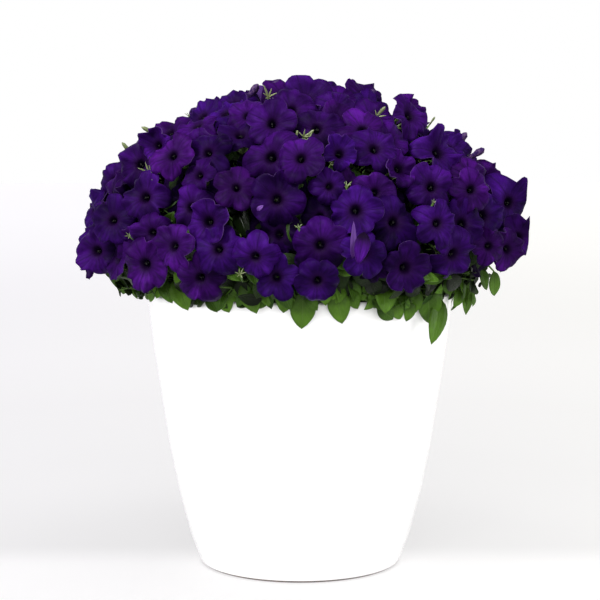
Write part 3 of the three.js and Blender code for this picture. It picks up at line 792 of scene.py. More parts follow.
def placeBloom(bloom, placed):
    for size in (1, dome["shrunk"]):
        for lift in dome["lifts"]:
            centre = bloom["foot"] + bloom["normal"] * lift
            tried = dict(bloom, radius=bloom["radius"] * size, centre=centre)
            tried["probes"] = probesOf(tried)
            if hasRoom(tried, placed):
                placed.append(tried)
                return


goldenAngle = math.pi * (3 - math.sqrt(5))

underLayer = {  # more blooms that show between and below the others, with less room
    "seed": 20263, "lifts": [-3, -10, -17, -24, -31, -38], "clearance": -1.0, "tilt": 0.8, "lowest": -0.05,
    "fill": {
        "tries": 1500, "spacing": 23.0, "size": (0.82, 0.2), "turn": 1.0,
        "facing": 0.5, "backFacing": -0.2, "offLeaves": True,
    },
}

# places of the usual picture where leaves show instead of blooms: middle, half width and how many leaves
leafyPlaces = [
    [240, 288, 22, 16], [258, 272, 11, 6], [351, 270, 10, 6], [372, 292, 14, 8], [436, 283, 13, 8],
    [462, 289, 12, 6], [330, 300, 10, 4], [398, 303, 14, 8], [176, 240, 9, 3], [158, 285, 8, 3],
]
offLeafyPlaces = 8     # how many pixels further the blooms keep off them


def pictureOf(point):
    depth = point[1] - eye[1]
    return (viewpoint["axis"] + viewpoint["focal"] * (point[0] - eye[0]) / depth,
            viewpoint["horizon"] + viewpoint["focal"] * (eye[2] - point[2]) / depth)


def isWithin(point, places, further=0):
    # whether a point shows inside one of the round places of the usual picture
    u, v = pictureOf(point)
    return any(math.hypot(u - place[0], v - place[1]) < place[2] + further for place in places)


def isLeafy(foot):
    return foot[1] < 0 and isWithin(foot, leafyPlaces, offLeafyPlaces)


def fillDome(placed, draw, lowest, fill):
    for i in range(fill["tries"]):
        unit = unitAt(i * goldenAngle + fill["turn"], heightAt(i, fill["tries"], lowest))
        draws = [draw(), draw(), draw(), draw()]
        facing = fill["facing"] if unit[1] < dome["backFrom"] else fill["backFacing"]
        least, spread = fill["size"]
        bloom = bloomAt(unit, dome["bloomRadius"] * (least + spread * draws[0]), facing, draws)
        apart = all(np.linalg.norm(other["foot"] - bloom["foot"]) > fill["spacing"] for other in placed)
        if apart and not (fill["offLeaves"] and isLeafy(bloom["foot"])):
            placeBloom(bloom, placed)


def placeBlooms():
    draw = makeDraw(dome["seed"])
    placed = []
    for u, v, width in sorted(frontBlooms, key=lambda bloom: -bloom[2]):
        unit = sightOnDome(u, v)
        distance = viewpoint["distance"] / mm + domeSize[1] * unit[1]
        draws = [draw(), draw(), draw(), draw()]
        bloom = bloomAt(unit, 0.5 * width * distance / viewpoint["focal"], dome["facing"], draws)
        placeBloom(dict(bloom, place=(u, v)), placed)
    fillDome(placed, draw, (dome["lowest"] - dome["centreZ"]) / dome["height"], dome["fill"])
    return placed


def placeUnderLayer(placed):
    # from here on the dome has the under layer's room
    for key in ("lifts", "clearance", "tilt"):
        dome[key] = underLayer[key]
    fillDome(placed, makeDraw(underLayer["seed"]), underLayer["lowest"], underLayer["fill"])


blooms = placeBlooms()
packedBlooms = len(blooms)
placeUnderLayer(blooms)
print("blooms", packedBlooms, len(blooms))

print("stems")

stemPlan = {
    "count": 30, "radius": 3.6, "taper": 0.06, "sides": 8,
    "top": 0.96, "span": 1.02,      # the first stem's height on the dome, and how far below it the last is
    "forkShare": 0.5, "forkLowest": 340.0, "rootShare": 0.9, "rootHeight": 274.0,
    "jointFirst": 2.0, "jointStep": 5.0, "jointCount": 8,
    "onNode": 0.0004,       # metres: a bloom that lies nearer to a packed stem is its own
    "sectors": 6,           # pieces that the plant is made in, round the planter
}


def makeStems():
    stems = []
    share, rootShare = stemPlan["forkShare"], stemPlan["rootShare"]
    for i in range(stemPlan["count"]):
        unit = unitAt(i * goldenAngle, stemPlan["top"] - ((i + 0.5) / stemPlan["count"]) * stemPlan["span"])
        fork = np.array((
            share * dome["radius"] * unit[0],
            share * dome["radius"] * unit[1],
            stemPlan["forkLowest"] + share * dome["height"] * max(unit[2], 0),
        ))
        root = np.array((rootShare * fork[0], rootShare * fork[1], stemPlan["rootHeight"]))
        stems.append({"unit": unit, "fork": fork, "root": root, "down": unitOf(root - fork), "shoots": 0,
                      "node": f"flowering_stem_{i + 1:02d}"})
    turns = sorted(stems, key=lambda stem: math.atan2(stem["fork"][1], stem["fork"][0]))
    for rank, stem in enumerate(turns):
        stem["sector"] = rank // (len(stems) // stemPlan["sectors"])
    return stems


stems = makeStems()


def nodeTree():
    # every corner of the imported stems, to find which stem carries a bloom
    corners = [(vert.co.copy(), i) for i, stem in enumerate(stems)
               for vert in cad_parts[stem["node"]].data.vertices]
    tree = KDTree(len(corners))
    for index, (co, _) in enumerate(corners):
        tree.insert(co, index)
    tree.balance()
    return tree, [i for _, i in corners]


cornerTree, cornerStem = nodeTree()


def nearestStem(unit):
    return max(range(len(stems)), key=lambda i: float(stems[i]["unit"] @ unit))


def carrierOf(unit):
    # the stem that carries what grows in a direction, and the sector it is in
    index = nearestStem(unit)
    return index, stems[index]["sector"]


def stemOf(point, unit):
    _, index, distance = cornerTree.find(Vector(point * mm))
    return cornerStem[index] if distance < stemPlan["onNode"] else nearestStem(unit)


def nextJoint(index):
    stem = stems[index]
    step = stemPlan["jointFirst"] + stemPlan["jointStep"] * (stem["shoots"] % stemPlan["jointCount"])
    stem["shoots"] += 1
    return stem["fork"] + stem["down"] * step


for bloom in blooms:
    deepest = bloom["centre"] + bloom["axis"] * (dome["deepest"] * bloom["radius"])
    bloom["stem"] = stemOf(deepest, bloom["unit"])

print("bloom shapes")

bloomForm = {
    "outline": [  # radius and height of the trumpet from its foot to its edge, in shares of its radius
        (0.05, -0.95), (0.07, -0.74), (0.10, -0.52), (0.14, -0.33), (0.19, -0.18), (0.28, -0.105),
        (0.40, -0.068), (0.55, -0.040), (0.71, -0.018), (0.87, -0.006), (1.0, 0.0),
    ],
    "steps": 40,
    "underSteps": 25,       # of the blooms below the others
    "grown": 1.14,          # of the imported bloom's radius
    "notch": 0.23,          # how far the edge draws in between two petals
    "notchSpread": (0.7, 1.3),
    "limb": (0.15, 1.0),    # the radii between which the trumpet opens out
    "reach": 0.11,          # how much petals differ in length
    "lift": (-0.48, 0.34),  # how far a petal bends down or up
    "crease": (-0.04, 0.25),
    "creaseForm": (1.5, 0.5, 1.4),     # how sharp it is, the height that stays level, and its depth
    "overlap": 0.06,        # how far one side of a petal stands over the next
    "ripple": 0.078,
    "ripples": (3, 11),     # how many wide and fine ones go round
    "still": 0.12,          # the tube stays as it is up to this radius
    "pointed": 2.6,         # how narrow the notch between two petals is
    "dim": (0.36, 0.44),    # how much darker a whole bloom, and one petal, can be
    "uneven": 0.27,
    "dents": 2.4,           # how close together the uneven places are
    "curl": 0.26,           # how far the edge rolls back
    "curlFrom": (0.62, 1.05),
    "closing": 0.35,        # how far in a half open bloom's edge is drawn
    "slump": 0.30,          # how far the whole limb bends down at one side
    "thickness": 0.00055,
}

settled = {
    "sideFrom": 165.0, "sideTurn": 0.9,         # blooms at both sides turn towards the usual view
    "middle": (130, 520), "middleTurn": 0.6,    # and those between them too, in that picture
    "outlineFrom": 0.35, "outlineSize": 0.86, "outlineSink": 7.0,   # blooms on the outline sit lower
    "unwanted": [(513, 262, 12), (87, 272, 9)],    # blooms left out: place and how far round, there
    "moved": {  # blooms that shift in the usual picture, right and down in pixels, and change size
        (95, 258): (1, -7, 0.95), (106, 180): (9, 2, 0.92), (194, 125): (5, 5, 0.90),
        (137, 160): (3, 4, 0.96),
        (429, 124): (0, 3, 0.95), (392, 104): (-2, -4, 1.0), (362, 92): (6, -3, 1.0),
        (460, 141): (-4, 5, 0.95), (491, 174): (-4, 4, 0.95), (471, 173): (-3, 3, 0.95),
        (513, 238): (5, 0, 1.0), (505, 203): (4, 0, 1.0), (304, 100): (0, 3, 1.0), (147, 232): (0, 0, 0.95),
        (90, 236): (1, -2, 0.95), (487, 252): (1, -6, 0.95),
    },
    "turned": {  # blooms that face a given way
        (194, 125): (-0.35, -0.40, 0.85), (226, 112): (-0.3, -0.45, 0.84), (238, 98): (-0.2, -0.5, 0.84),
    },
}


def smoothStep(low, high, value):
    share = min(max((value - low) / (high - low), 0.0), 1.0)
    return share * share * (3.0 - 2.0 * share)


def addLayers(bm):
    # a tone for each plant part, and how much painted shade it gets: how deep in the dome it is, with any
    # random darkening added
    for name in ("tone", "depth"):
        if bm.verts.layers.float.get(name) is None:
            bm.verts.layers.float.new(name)


def bloomShape(steps, outline):
    # a plain trumpet with a map: petals across, and from tube to edge along
    bm = spunShape(outline, steps)
    if sum(f.normal.z for f in bm.faces) < 0:
        bmesh.ops.reverse_faces(bm, faces=bm.faces)
    layer = bm.loops.layers.uv.new("petalMap")
    addLayers(bm)
    for face in bm.faces:
        middle = face.calc_center_median()
        turn = math.atan2(middle.y, middle.x)
        for loop in face.loops:
            co = loop.vert.co
            own = math.atan2(co.y, co.x)
            own += fullTurn * round((turn - own) / fullTurn)
            across = own * petalCount / fullTurn + 0.5
            loop[layer].uv = (across, co.xy.length)
    mesh = bpy.data.meshes.new("bloomShape")
    bm.to_mesh(mesh)
    bm.free()
    return mesh


class PetalMood:
    # how one bloom's petals differ from each other

    def __init__(self, rng, openness):
        count = petalCount
        self.reach = [rng.uniform(-1, 1) * bloomForm["reach"] for _ in range(count)]
        self.lift = [rng.uniform(*bloomForm["lift"]) for _ in range(count)]
        self.crease = [rng.uniform(*bloomForm["crease"]) for _ in range(count)]
        self.curl = [rng.random() ** 2 * bloomForm["curl"] for _ in range(count)]
        self.slump = bloomForm["slump"] * rng.random()
        self.notch = bloomForm["notch"] * rng.uniform(*bloomForm["notchSpread"])
        self.phase = [rng.uniform(0, fullTurn) for _ in range(3)]
        self.dim = [rng.random() ** 2 * bloomForm["dim"][1] for _ in range(count)]
        self.dimAll = rng.random() ** 2 * bloomForm["dim"][0]
        self.openness = openness
        self.seed = Vector((rng.uniform(0, 50), rng.uniform(0, 50), rng.uniform(0, 50)))

    def dimAt(self, co):
        petal = round(math.atan2(co.y, co.x) * petalCount / fullTurn) % petalCount
        return self.dimAll + self.dim[petal]

    def shaped(self, co):
        radius = co.xy.length
        if radius < bloomForm["still"]:
            return co
        turn = math.atan2(co.y, co.x)
        part = turn * petalCount / fullTurn
        petal = round(part)
        offset = 2 * (part - petal)         # -1 and 1 between petals
        side = abs(offset)
        petal %= petalCount
        limb = smoothStep(*bloomForm["limb"], radius)
        own = 1 - side * side
        reach = 1 + self.reach[petal] * own - self.notch * side ** bloomForm["pointed"]
        grown = 1 + (reach * bloomForm["grown"] - 1) * limb
        wide = radius * radius
        height = co.z + self.lift[petal] * own * wide
        sharp, level, deep = bloomForm["creaseForm"]
        height += self.crease[petal] * wide * (side ** sharp - level) * deep
        height += bloomForm["overlap"] * wide * offset ** 3
        height -= self.slump * wide * (1 + math.cos(turn - self.phase[2])) / 2
        few, many = bloomForm["ripples"]
        height += bloomForm["ripple"] * wide * math.sin(few * turn + self.phase[0])
        height += bloomForm["ripple"] * wide * radius * math.sin(many * turn + self.phase[1])
        dents = Vector((co.x, co.y, 0)) * bloomForm["dents"] + self.seed
        height += bloomForm["uneven"] * limb * noise.noise(dents)
        height -= self.curl[petal] * own * smoothStep(*bloomForm["curlFrom"], radius) ** 2 * 2.0
        height += self.openness * wide
        inward = 1 - bloomForm["closing"] * self.openness * wide
        return Vector((co.x * grown * inward, co.y * grown * inward, height))


trumpet = bloomShape(bloomForm["steps"], bloomForm["outline"])
underTrumpet = bloomShape(bloomForm["underSteps"], bloomForm["outline"][1::2])


def matrixOf(columns, place):
    # a matrix from its three directions in metres and a place in millimetres
    matrix = Matrix.Identity(4)
    for i, column in enumerate(columns):
        for k in range(3):
            matrix[k][i] = column[k]
    matrix.translation = Vector(place * mm)
    return matrix


def placement(centre, axis, radius, spin):
    # the matrix that stands a unit shape at a place of the dome
    side, rise = frameOf(axis)
    turned = side * math.cos(spin) + rise * math.sin(spin)
    return matrixOf([way * (radius * mm) for way in (turned, np.cross(axis, turned), axis)], centre)


paintedShadeFullAt = 0.16                           # how deep in the dome the painted shade is fully dark, as a share of the dome
boxMargin, boxEase = 0.0007, 0.006      # metres that stay free, and over which corners are eased back


def paintedShadeAt(point):
    # 0 at the blooms' outside, 1 deep in the dome: how much painted shade a corner gets
    offset = np.array((point.x / mm, point.y / mm, point.z / mm)) - domeCentre
    offset /= domeSize
    return min(max((1.0 - math.sqrt(float(offset @ offset))) / paintedShadeFullAt, 0.0), 1.0)


def insideBox(co):
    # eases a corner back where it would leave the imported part's box
    for k in range(3):
        low, high = cadBox[0][k] + boxMargin, cadBox[1][k] - boxMargin
        if co[k] > high - boxEase:
            co[k] = high - boxEase + boxEase * math.tanh((co[k] - high + boxEase) / boxEase)
        elif co[k] < low + boxEase and k < 2:
            co[k] = low + boxEase - boxEase * math.tanh((low + boxEase - co[k]) / boxEase)
    return co


def addShape(bm, mesh, matrix, tone, move=None, slot=None, shade=None):
    # joins a copy of a shape to a piece, each corner moved, placed, and given painted shade if it is in the
    # dome
    first, firstFace = len(bm.verts), len(bm.faces)
    bm.from_mesh(mesh)
    addLayers(bm)
    layer, depth = bm.verts.layers.float["tone"], bm.verts.layers.float["depth"]
    bm.verts.ensure_lookup_table()
    for vert in bm.verts[first:]:
        dim = 0.0 if shade is None else shade(vert.co)
        vert.co = insideBox(matrix @ (move(vert.co) if move else vert.co))
        vert[layer] = tone
        vert[depth] = 0.0 if shade is None else min(paintedShadeAt(vert.co) + dim, 1.0)
    if slot is not None:
        bm.faces.ensure_lookup_table()
        for face in bm.faces[firstFace:]:
            face.material_index = slot


def shapeOf(bm, name):
    addLayers(bm)
    mesh = bpy.data.meshes.new(name)
    bm.to_mesh(mesh)
    bm.free()
    return mesh


print("leaf and bud shapes")

leafForm = {
    "faces": (4, 9),
    "plainFaces": (2, 6),     # of the leaves inside the dome
    "fold": (0.15, 0.42), "droop": (0.032, 0.32),    # least and greatest, as slopes
    "twist": 0.35, "bow": 0.08, "waves": 9, "wave": (0.0105, 0.0525),
    "thickness": 0.0005,
    "joined": 0.012,          # corners of a leaf's ends that lie nearer become one
    "egg": (0.86, 0.74),      # where it is widest, and how blunt it is: 1 and 1 would be a sine
    "foot": 0.035,            # half its width where it starts
}
sepalForm = {
    "outline": [(0.0, 0.0), (0.32, 0.05), (0.42, 0.30), (0.50, 0.62), (0.85, 1.0)],
    "count": 5, "free": 0.5,  # the height above which the sepals part
    "narrow": 0.45, "notch": 0.55,
}
budForm = {
    "outline": [
        (0.0, 0.0), (0.16, 0.06), (0.15, 0.35), (0.20, 0.62), (0.17, 0.85), (0.05, 0.98), (0.0, 1.0),
    ],
    "folds": 5, "twist": 1.6, "depth": 0.16, "folded": (0.2, 0.7),
}


def leafWidth(share):
    # half width of an egg-shaped leaf with a drawn-out tip, at a share of its length
    widest, blunt = leafForm["egg"]
    around = max(math.sin(math.pi * min(share, 1.0) ** widest), 0.0)
    return 0.5 * around ** blunt + leafForm["foot"] * (1 - share)


def leafShape(mapName, across, along):
    bm = bmesh.new()
    bmesh.ops.create_grid(bm, x_segments=across, y_segments=along, size=0.5)
    layer = bm.loops.layers.uv.new(mapName)
    for face in bm.faces:
        for loop in face.loops:
            loop[layer].uv = (loop.vert.co.x + 0.5, loop.vert.co.y + 0.5)
    for vert in bm.verts:
        share = vert.co.y + 0.5
        vert.co = Vector((vert.co.x * 2 * leafWidth(share), share, 0.0))
    bmesh.ops.remove_doubles(bm, verts=bm.verts, dist=leafForm["joined"])
    return shapeOf(bm, mapName + "Shape")


def sepalRing():
    # a small green star: spun, and drawn out into points
    count, free = sepalForm["count"], sepalForm["free"]
    bm = spunShape(sepalForm["outline"], 2 * count)
    if sum(face.normal.z for face in bm.faces) > 0:
        bmesh.ops.reverse_faces(bm, faces=bm.faces)
    for vert in bm.verts:
        turn = math.atan2(vert.co.y, vert.co.x) * count / fullTurn
        between = abs(turn - round(turn)) * 2
        if vert.co.z > free:
            share = (vert.co.z - free) / (1 - free)
            vert.co.xy *= 1 - sepalForm["narrow"] * between * share
            vert.co.z -= sepalForm["notch"] * between * share
    return shapeOf(bm, "sepalRing")


def budShape():
    # a closed bud with twisted folds
    bm = spunShape(budForm["outline"], 3 * budForm["folds"])
    for vert in bm.verts:
        turn = math.atan2(vert.co.y, vert.co.x) + budForm["twist"] * vert.co.z
        fold = math.cos(budForm["folds"] * turn) * smoothStep(*budForm["folded"], vert.co.z)
        vert.co.xy *= 1 + budForm["depth"] * fold
    return shapeOf(bm, "budShape")


def beadShape():
    bm = bmesh.new()
    bmesh.ops.create_icosphere(bm, subdivisions=1, radius=1.0)
    return shapeOf(bm, "beadShape")


leafBlank = leafShape("leafMap", *leafForm["faces"])
plainLeaf = leafShape("leafMap", *leafForm["plainFaces"])
petalBlank = leafShape("petalMap", *leafForm["faces"])
sepals, budBlank, bead = sepalRing(), budShape(), beadShape()


def leafMood(rng, length, width):
    # bends a flat leaf: folded along its midrib, drooping, twisted and waved
    fold = rng.uniform(*leafForm["fold"])
    droop = rng.uniform(*leafForm["droop"])
    twist = rng.uniform(-1, 1) * leafForm["twist"]
    wave = rng.uniform(*leafForm["wave"])
    phase = rng.uniform(0, 6.3)
    bow = rng.uniform(-1, 1) * leafForm["bow"]

    def moved(co):
        share = co.y
        x = co.x * width
        z = fold * abs(x) - droop * share * share * length
        z += wave * width * math.sin(leafForm["waves"] * share + phase) * (abs(co.x) * 2)
        turned = twist * share
        return Vector((x * math.cos(turned) + bow * length * share * share, share * length,
                       z + x * math.sin(turned)))

    return moved


def leafPlacement(base, along, face):
    across = unitOf(np.cross(along, face))
    return matrixOf([way * mm for way in (across, along, np.cross(across, along))], base)


def growTube(bm, path, radii, sides, slot):
    # a stalk: a ring drawn out from point to point of its path, and closed at both ends
    first = len(bm.faces)
    addLayers(bm)
    points = [Vector(p * mm) for p in path]
    frames = []
    for i, point in enumerate(points):
        ahead = (points[min(i + 1, len(points) - 1)] - points[max(i - 1, 0)]).normalized()
        turn = ahead.to_track_quat("Z", "Y").to_matrix().to_4x4()
        turn.translation = point
        frames.append(turn)
    made = bmesh.ops.create_circle(bm, segments=sides, radius=radii[0] * mm, matrix=frames[0])
    ring = made["verts"]
    bmesh.ops.contextual_create(bm, geom=ring)
    edges = list(dict.fromkeys(edge for vert in ring for edge in vert.link_edges))
    for i in range(1, len(points)):
        grown = bmesh.ops.extrude_edge_only(bm, edges=edges)
        ring = [g for g in grown["geom"] if isinstance(g, bmesh.types.BMVert)]
        edges = [g for g in grown["geom"] if isinstance(g, bmesh.types.BMEdge)]
        step = frames[i] @ Matrix.Scale(radii[i] / radii[i - 1], 4) @ frames[i - 1].inverted()
        bmesh.ops.transform(bm, matrix=step, verts=ring)
    bmesh.ops.contextual_create(bm, geom=ring)
    bm.faces.ensure_lookup_table()
    new = bm.faces[first:]
    bmesh.ops.recalc_face_normals(bm, faces=new)
    for face in new:
        face.material_index = slot


pathSteps = 6
pathPull = 0.38     # how far a path keeps its first and last directions, as a share of its length


def curvePath(start, startAlong, end, endAlong):
    # a smooth path between two points that leaves and arrives in given directions
    pull = pathPull * np.linalg.norm(end - start)
    first, last = start + startAlong * pull, end - endAlong * pull
    path = []
    for i in range(pathSteps + 1):
        t = i / pathSteps
        near = start * (1 - t) ** 3 + first * (3 * t * (1 - t) ** 2)
        path.append(near + last * (3 * t * t * (1 - t)) + end * t ** 3)
    return path


print("plant")

plantForm = {
    "seed": 7,
    "leavesOnStalk": (2, 4),
    "leafLength": (20.0, 31.0),
    "leafShare": 0.56,        # a leaf's width, of its length
    "leafAt": (0.0, 0.75),    # where on a stalk, from the bloom down
    "leafLean": (0.7, 1.2),   # radians between a leaf and its stalk
    "leafTone": (0.0, 0.45),
    "leafTries": 8,
    "stalk": 1.7,             # radius of a flower stalk
    "stalkTaper": (0.8, 0.3),     # the share of it at the top, and how much more at the stem
    "straight": 0.6,          # how far a shoot meets its stem in a straight line
    "stalkSides": 5,
    "calyx": (9.5, 7.5),      # its radius, and how far below the tube's foot it starts
    "calyxTone": (0.1, 0.6),
    "calyxSpin": 1.2,
    "petalTone": (0.05, 0.85),
    "knee": 9.0,              # how far below that foot a stalk begins to bend
    "intoCalyx": 2.0,         # how far it reaches back up into the calyx
    "halfOpen": (0.15, 0.4),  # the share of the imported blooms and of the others
    "openness": ((-0.06, 0.08), (0.15, 0.5)),      # of open and of half open blooms
    "heart": ((0.0, 0.040, -0.21), (0.07, 0.026, -0.25)),   # off the axis, size, height: stigma, anthers
    "anthers": 3,
    "insideDome": 0.955,      # leaves on the stalks end below this share of the dome
    "lowerPart": 1.6,         # how much faster that share grows below the dome's middle
}

rng = random.Random(plantForm["seed"])
petalPieces, leafPieces, stalkPieces = ([bmesh.new() for _ in range(stemPlan["sectors"])] for _ in range(3))
stamenPiece = bmesh.new()
leafSlots = {"leaf": 0, "sepal": 2}     # each is followed by the finish of its back
stalkSlots = {"stem": 0, "greenBud": 1, "violetBud": 2}


def domeShare(point):
    # 1 on the dome of blooms, less inside it
    offset = (point - domeCentre) / domeSize
    if offset[2] < 0:
        offset[2] *= plantForm["lowerPart"]
    return float(np.linalg.norm(offset))


# no extra darkening: the painted shade follows only how deep a corner lies in the dome
def paintedShadeByDepth(_):
    return 0.0


def addLeaf(sector, base, along, face, length, tone, width=None, shade=paintedShadeByDepth):
    width = width or length * plantForm["leafShare"]
    addShape(leafPieces[sector], leafBlank, leafPlacement(base, along, face), tone,
             leafMood(rng, length, width), leafSlots["leaf"], shade)


def growShoot(sector, path, radii, sides=plantForm["stalkSides"]):
    growTube(stalkPieces[sector], path, radii, sides, stalkSlots["stem"])


def isUnwanted(bloom):
    return "place" not in bloom and isWithin(bloom["centre"], settled["unwanted"])


def settle(bloom, packed):
    # a bloom's last turn and sinking, so that the front looks as it does from the usual side
    towards = unitOf(eye - bloom["foot"])
    u, _ = pictureOf(bloom["centre"])
    if "place" in bloom:
        if bloom["place"] in settled["moved"]:
            right, down, size = settled["moved"][bloom["place"]]
            scale = (bloom["centre"][1] - eye[1]) / viewpoint["focal"]
            bloom["centre"] = bloom["centre"] + np.array((right, 0.0, -down)) * scale
            bloom["radius"] *= size
        if bloom["place"] in settled["turned"]:
            bloom["axis"] = unitOf(np.array(settled["turned"][bloom["place"]]))
        elif abs(bloom["foot"][0]) > settled["sideFrom"]:
            bloom["axis"] = unitOf(bloom["axis"] + settled["sideTurn"] * towards)
        return
    if not packed:
        return
    if bloom["foot"][1] < 0 and settled["middle"][0] < u < settled["middle"][1]:
        bloom["axis"] = unitOf(bloom["axis"] + settled["middleTurn"] * towards)
    if abs(bloom["normal"] @ towards) < settled["outlineFrom"]:
        bloom["radius"] *= settled["outlineSize"]
        bloom["centre"] = bloom["centre"] - bloom["normal"] * settled["outlineSink"]


def addBloom(bloom, shape, openness):
    sector = stems[bloom["stem"]]["sector"]
    mood = PetalMood(rng, openness)
    matrix = placement(bloom["centre"], bloom["axis"], bloom["radius"], bloom["spin"])
    tone = rng.uniform(*plantForm["petalTone"])
    addShape(petalPieces[sector], shape, matrix, tone, mood.shaped, 0, mood.dimAt)
    for k in range(1 + plantForm["anthers"]):
        turn = rng.uniform(0, fullTurn)
        out, size, height = plantForm["heart"][min(k, 1)]
        local = Matrix.Translation(pointAround(out, turn, height)) @ Matrix.Scale(size, 4)
        addShape(stamenPiece, bead, matrix @ local, 0.5)


def addCalyx(sector, foot, axis, radius, tone):
    matrix = placement(foot, axis, radius, rng.uniform(0, plantForm["calyxSpin"]))
    addShape(leafPieces[sector], sepals, matrix, tone, None, leafSlots["sepal"], paintedShadeByDepth)


def joinToStem(sector, index, start, along, radii, raised=0.0):
    # a shoot or stalk from where it carries something down to its place on a stem
    end = nextJoint(index)
    down = unitOf(stems[index]["down"] + plantForm["straight"] * unitOf(end - start))
    path = curvePath(start + along * raised, -along, end, down)
    growShoot(sector, path, radii)
    return path


def addStalk(bloom):
    # from the calyx down to the stem, with leaves on the way
    index = bloom["stem"]
    sector = stems[index]["sector"]
    axis = bloom["axis"]
    foot = bloom["centre"] - axis * (dome["tube"] * bloom["radius"])
    radius, below = plantForm["calyx"]
    addCalyx(sector, foot - axis * below, axis, radius, rng.uniform(*plantForm["calyxTone"]))
    top, more = plantForm["stalkTaper"]
    radii = [plantForm["stalk"] * (top + more * i / pathSteps) for i in range(pathSteps + 1)]
    knee = foot - axis * plantForm["knee"]
    path = joinToStem(sector, index, knee, axis, radii, plantForm["intoCalyx"])
    for _ in range(rng.randint(*plantForm["leavesOnStalk"])):
        growLeafOn(sector, path, rng.uniform(*plantForm["leafAt"]))


def growLeafOn(sector, path, share):
    place = share * (len(path) - 1)
    low = min(int(place), len(path) - 2)
    base = path[low] * (1 - place + low) + path[low + 1] * (place - low)
    up = unitOf(path[low] - path[low + 1])
    side, rise = frameOf(up)
    for _ in range(plantForm["leafTries"]):
        turn = rng.uniform(0, fullTurn)
        out = side * math.cos(turn) + rise * math.sin(turn)
        lean = rng.uniform(*plantForm["leafLean"])
        along = unitOf(up * math.cos(lean) + out * math.sin(lean))
        length = rng.uniform(*plantForm["leafLength"])
        if domeShare(base + along * length) < plantForm["insideDome"]:
            face = unitOf(up * math.sin(lean) - out * math.cos(lean))
            addLeaf(sector, base, along, face, length, rng.uniform(*plantForm["leafTone"]))
            return


for rank, bloom in enumerate(blooms):
    if isUnwanted(bloom):
        continue
    packed = rank < packedBlooms
    settle(bloom, packed)
    halfOpen = rng.random() < plantForm["halfOpen"][0 if packed else 1]
    openness = rng.uniform(*plantForm["openness"][1 if halfOpen else 0])
    addBloom(bloom, trumpet if packed else underTrumpet, openness)
    addStalk(bloom)

for stem in stems:
    path = [stem["root"] + (stem["fork"] - stem["root"]) * (i / 5) for i in range(6)]
    radii = [stemPlan["radius"] * (1 - stemPlan["taper"] * i) for i in range(6)]
    growShoot(stem["sector"], path, radii, stemPlan["sides"])

# the leaves that hang over the rim: tip, length and lean in the usual picture
rimLeaves = [
    [304, 331, 40, -0.05], [343, 324, 36, -0.25], [376, 314, 34, 0.25], [412, 319, 34, 0.1],
    [430, 325, 38, -0.1], [424, 344, 50, 0.52], [255, 314, 34, -0.3], [282, 314, 32, 0.15],
    [227, 314, 34, -0.35], [190, 308, 34, -0.6], [257, 303, 28, 0.0], [127, 296, 32, 0.3],
    [465, 317, 46, -0.1], [493, 299, 34, -0.55], [112, 291, 32, 0.3], [500, 272, 28, 0.1],
    [480, 292, 30, -0.6], [240, 309, 32, 0.1], [268, 307, 30, -0.2], [362, 303, 32, -0.1],
    [390, 302, 30, 0.3], [323, 305, 30, 0.0], [211, 307, 30, 0.2], [448, 296, 28, -0.3],
    [120, 285, 26, 0.2], [175, 300, 26, -0.8],
]

rimForm = {
    "radius": 186.0,          # how far from the axis they hang
    "run": 12.0,              # their shoot bends down this far inside them
    "rise": 8.0,
    "inwards": 0.4,           # how far their shoot leans in where it leaves them
    "facingUp": 0.3,
    "shoot": [1.0, 1.2, 1.4, 1.5, 1.6, 1.7, 1.8],  # its radii from the leaf to the stem
    "wide": (0.62, 0.36),     # width as a share of the length: of most of them, and of the slender ones
    "slender": {(465, 317), (493, 299), (112, 291), (424, 344), (480, 292), (120, 285)},
    "tone": (0.30, 0.85),
    "pitch": (-0.25, 0.45),   # how far they stand off the planter, in radians
    "turned": 0.7,            # how far they may face sideways
    "backTurned": 0.4,        # how much of that is left where they are seen from the usual side
}
backLeaves = {  # longer ones at the back
    "seed": 20262, "count": 16, "tip": (284, 24), "length": (30, 14), "lean": 0.7,
    "tone": (0.4, 0.9), "wide": 0.57,
}
skirt = {  # more leaves that fill the skirt over the rim
    "count": 180, "tips": (304, 330), "length": (18, 29), "lean": 1.3, "wide": (0.56, 0.70),
    "inner": (177, 182), "outer": (182, 191),      # how far from the axis they hang
    "shade": -0.25,           # inner leaves get less painted shade than their place in the dome would give them
    "bare": (-155, -120),     # where few hang, from side to side at the front
    "bareShare": 0.25,
    "tone": (1.5, 0.9),       # how rare bright ones are, and the brightest
}


def addRimLeaf(tip, length, lean, tone, share, shade=None, seen=False):
    outward = unitOf(np.array((tip[0], tip[1], 0.0)))
    sideways = np.array((-outward[1], outward[0], 0.0))
    up = np.array((0.0, 0.0, math.cos(lean))) + sideways * math.sin(lean)
    base = tip + up * length
    index, sector = carrierOf(outward)
    elbow = base - outward * rimForm["run"] + np.array((0, 0, rimForm["rise"]))
    joint = nextJoint(index)
    path = curvePath(base, unitOf(up - outward * rimForm["inwards"]), joint, unitOf(joint - elbow))
    growShoot(sector, path, rimForm["shoot"])
    pitch = rng.uniform(*rimForm["pitch"])
    along = unitOf(-up * math.cos(pitch) + outward * math.sin(pitch))
    turned = rng.uniform(-1, 1) * rimForm["turned"]
    face = unitOf(outward + sideways * turned + np.array((0, 0, rimForm["facingUp"])))
    if seen:
        face = unitOf(unitOf(eye - base) + rimForm["backTurned"] * face)
    addLeaf(sector, base, along, face, length, tone, length * share, shade)


def sightOnRim(u, v):
    along = sightLine(u, v)
    a = along[0] ** 2 + along[1] ** 2
    b = eye[0] * along[0] + eye[1] * along[1]
    c = eye[0] ** 2 + eye[1] ** 2 - rimForm["radius"] ** 2
    return eye + along * ((-b - math.sqrt(max(b * b - a * c, 0))) / a)


# the lighter painted shade of the inner skirt leaves
def innerShade(_):
    return skirt["shade"]


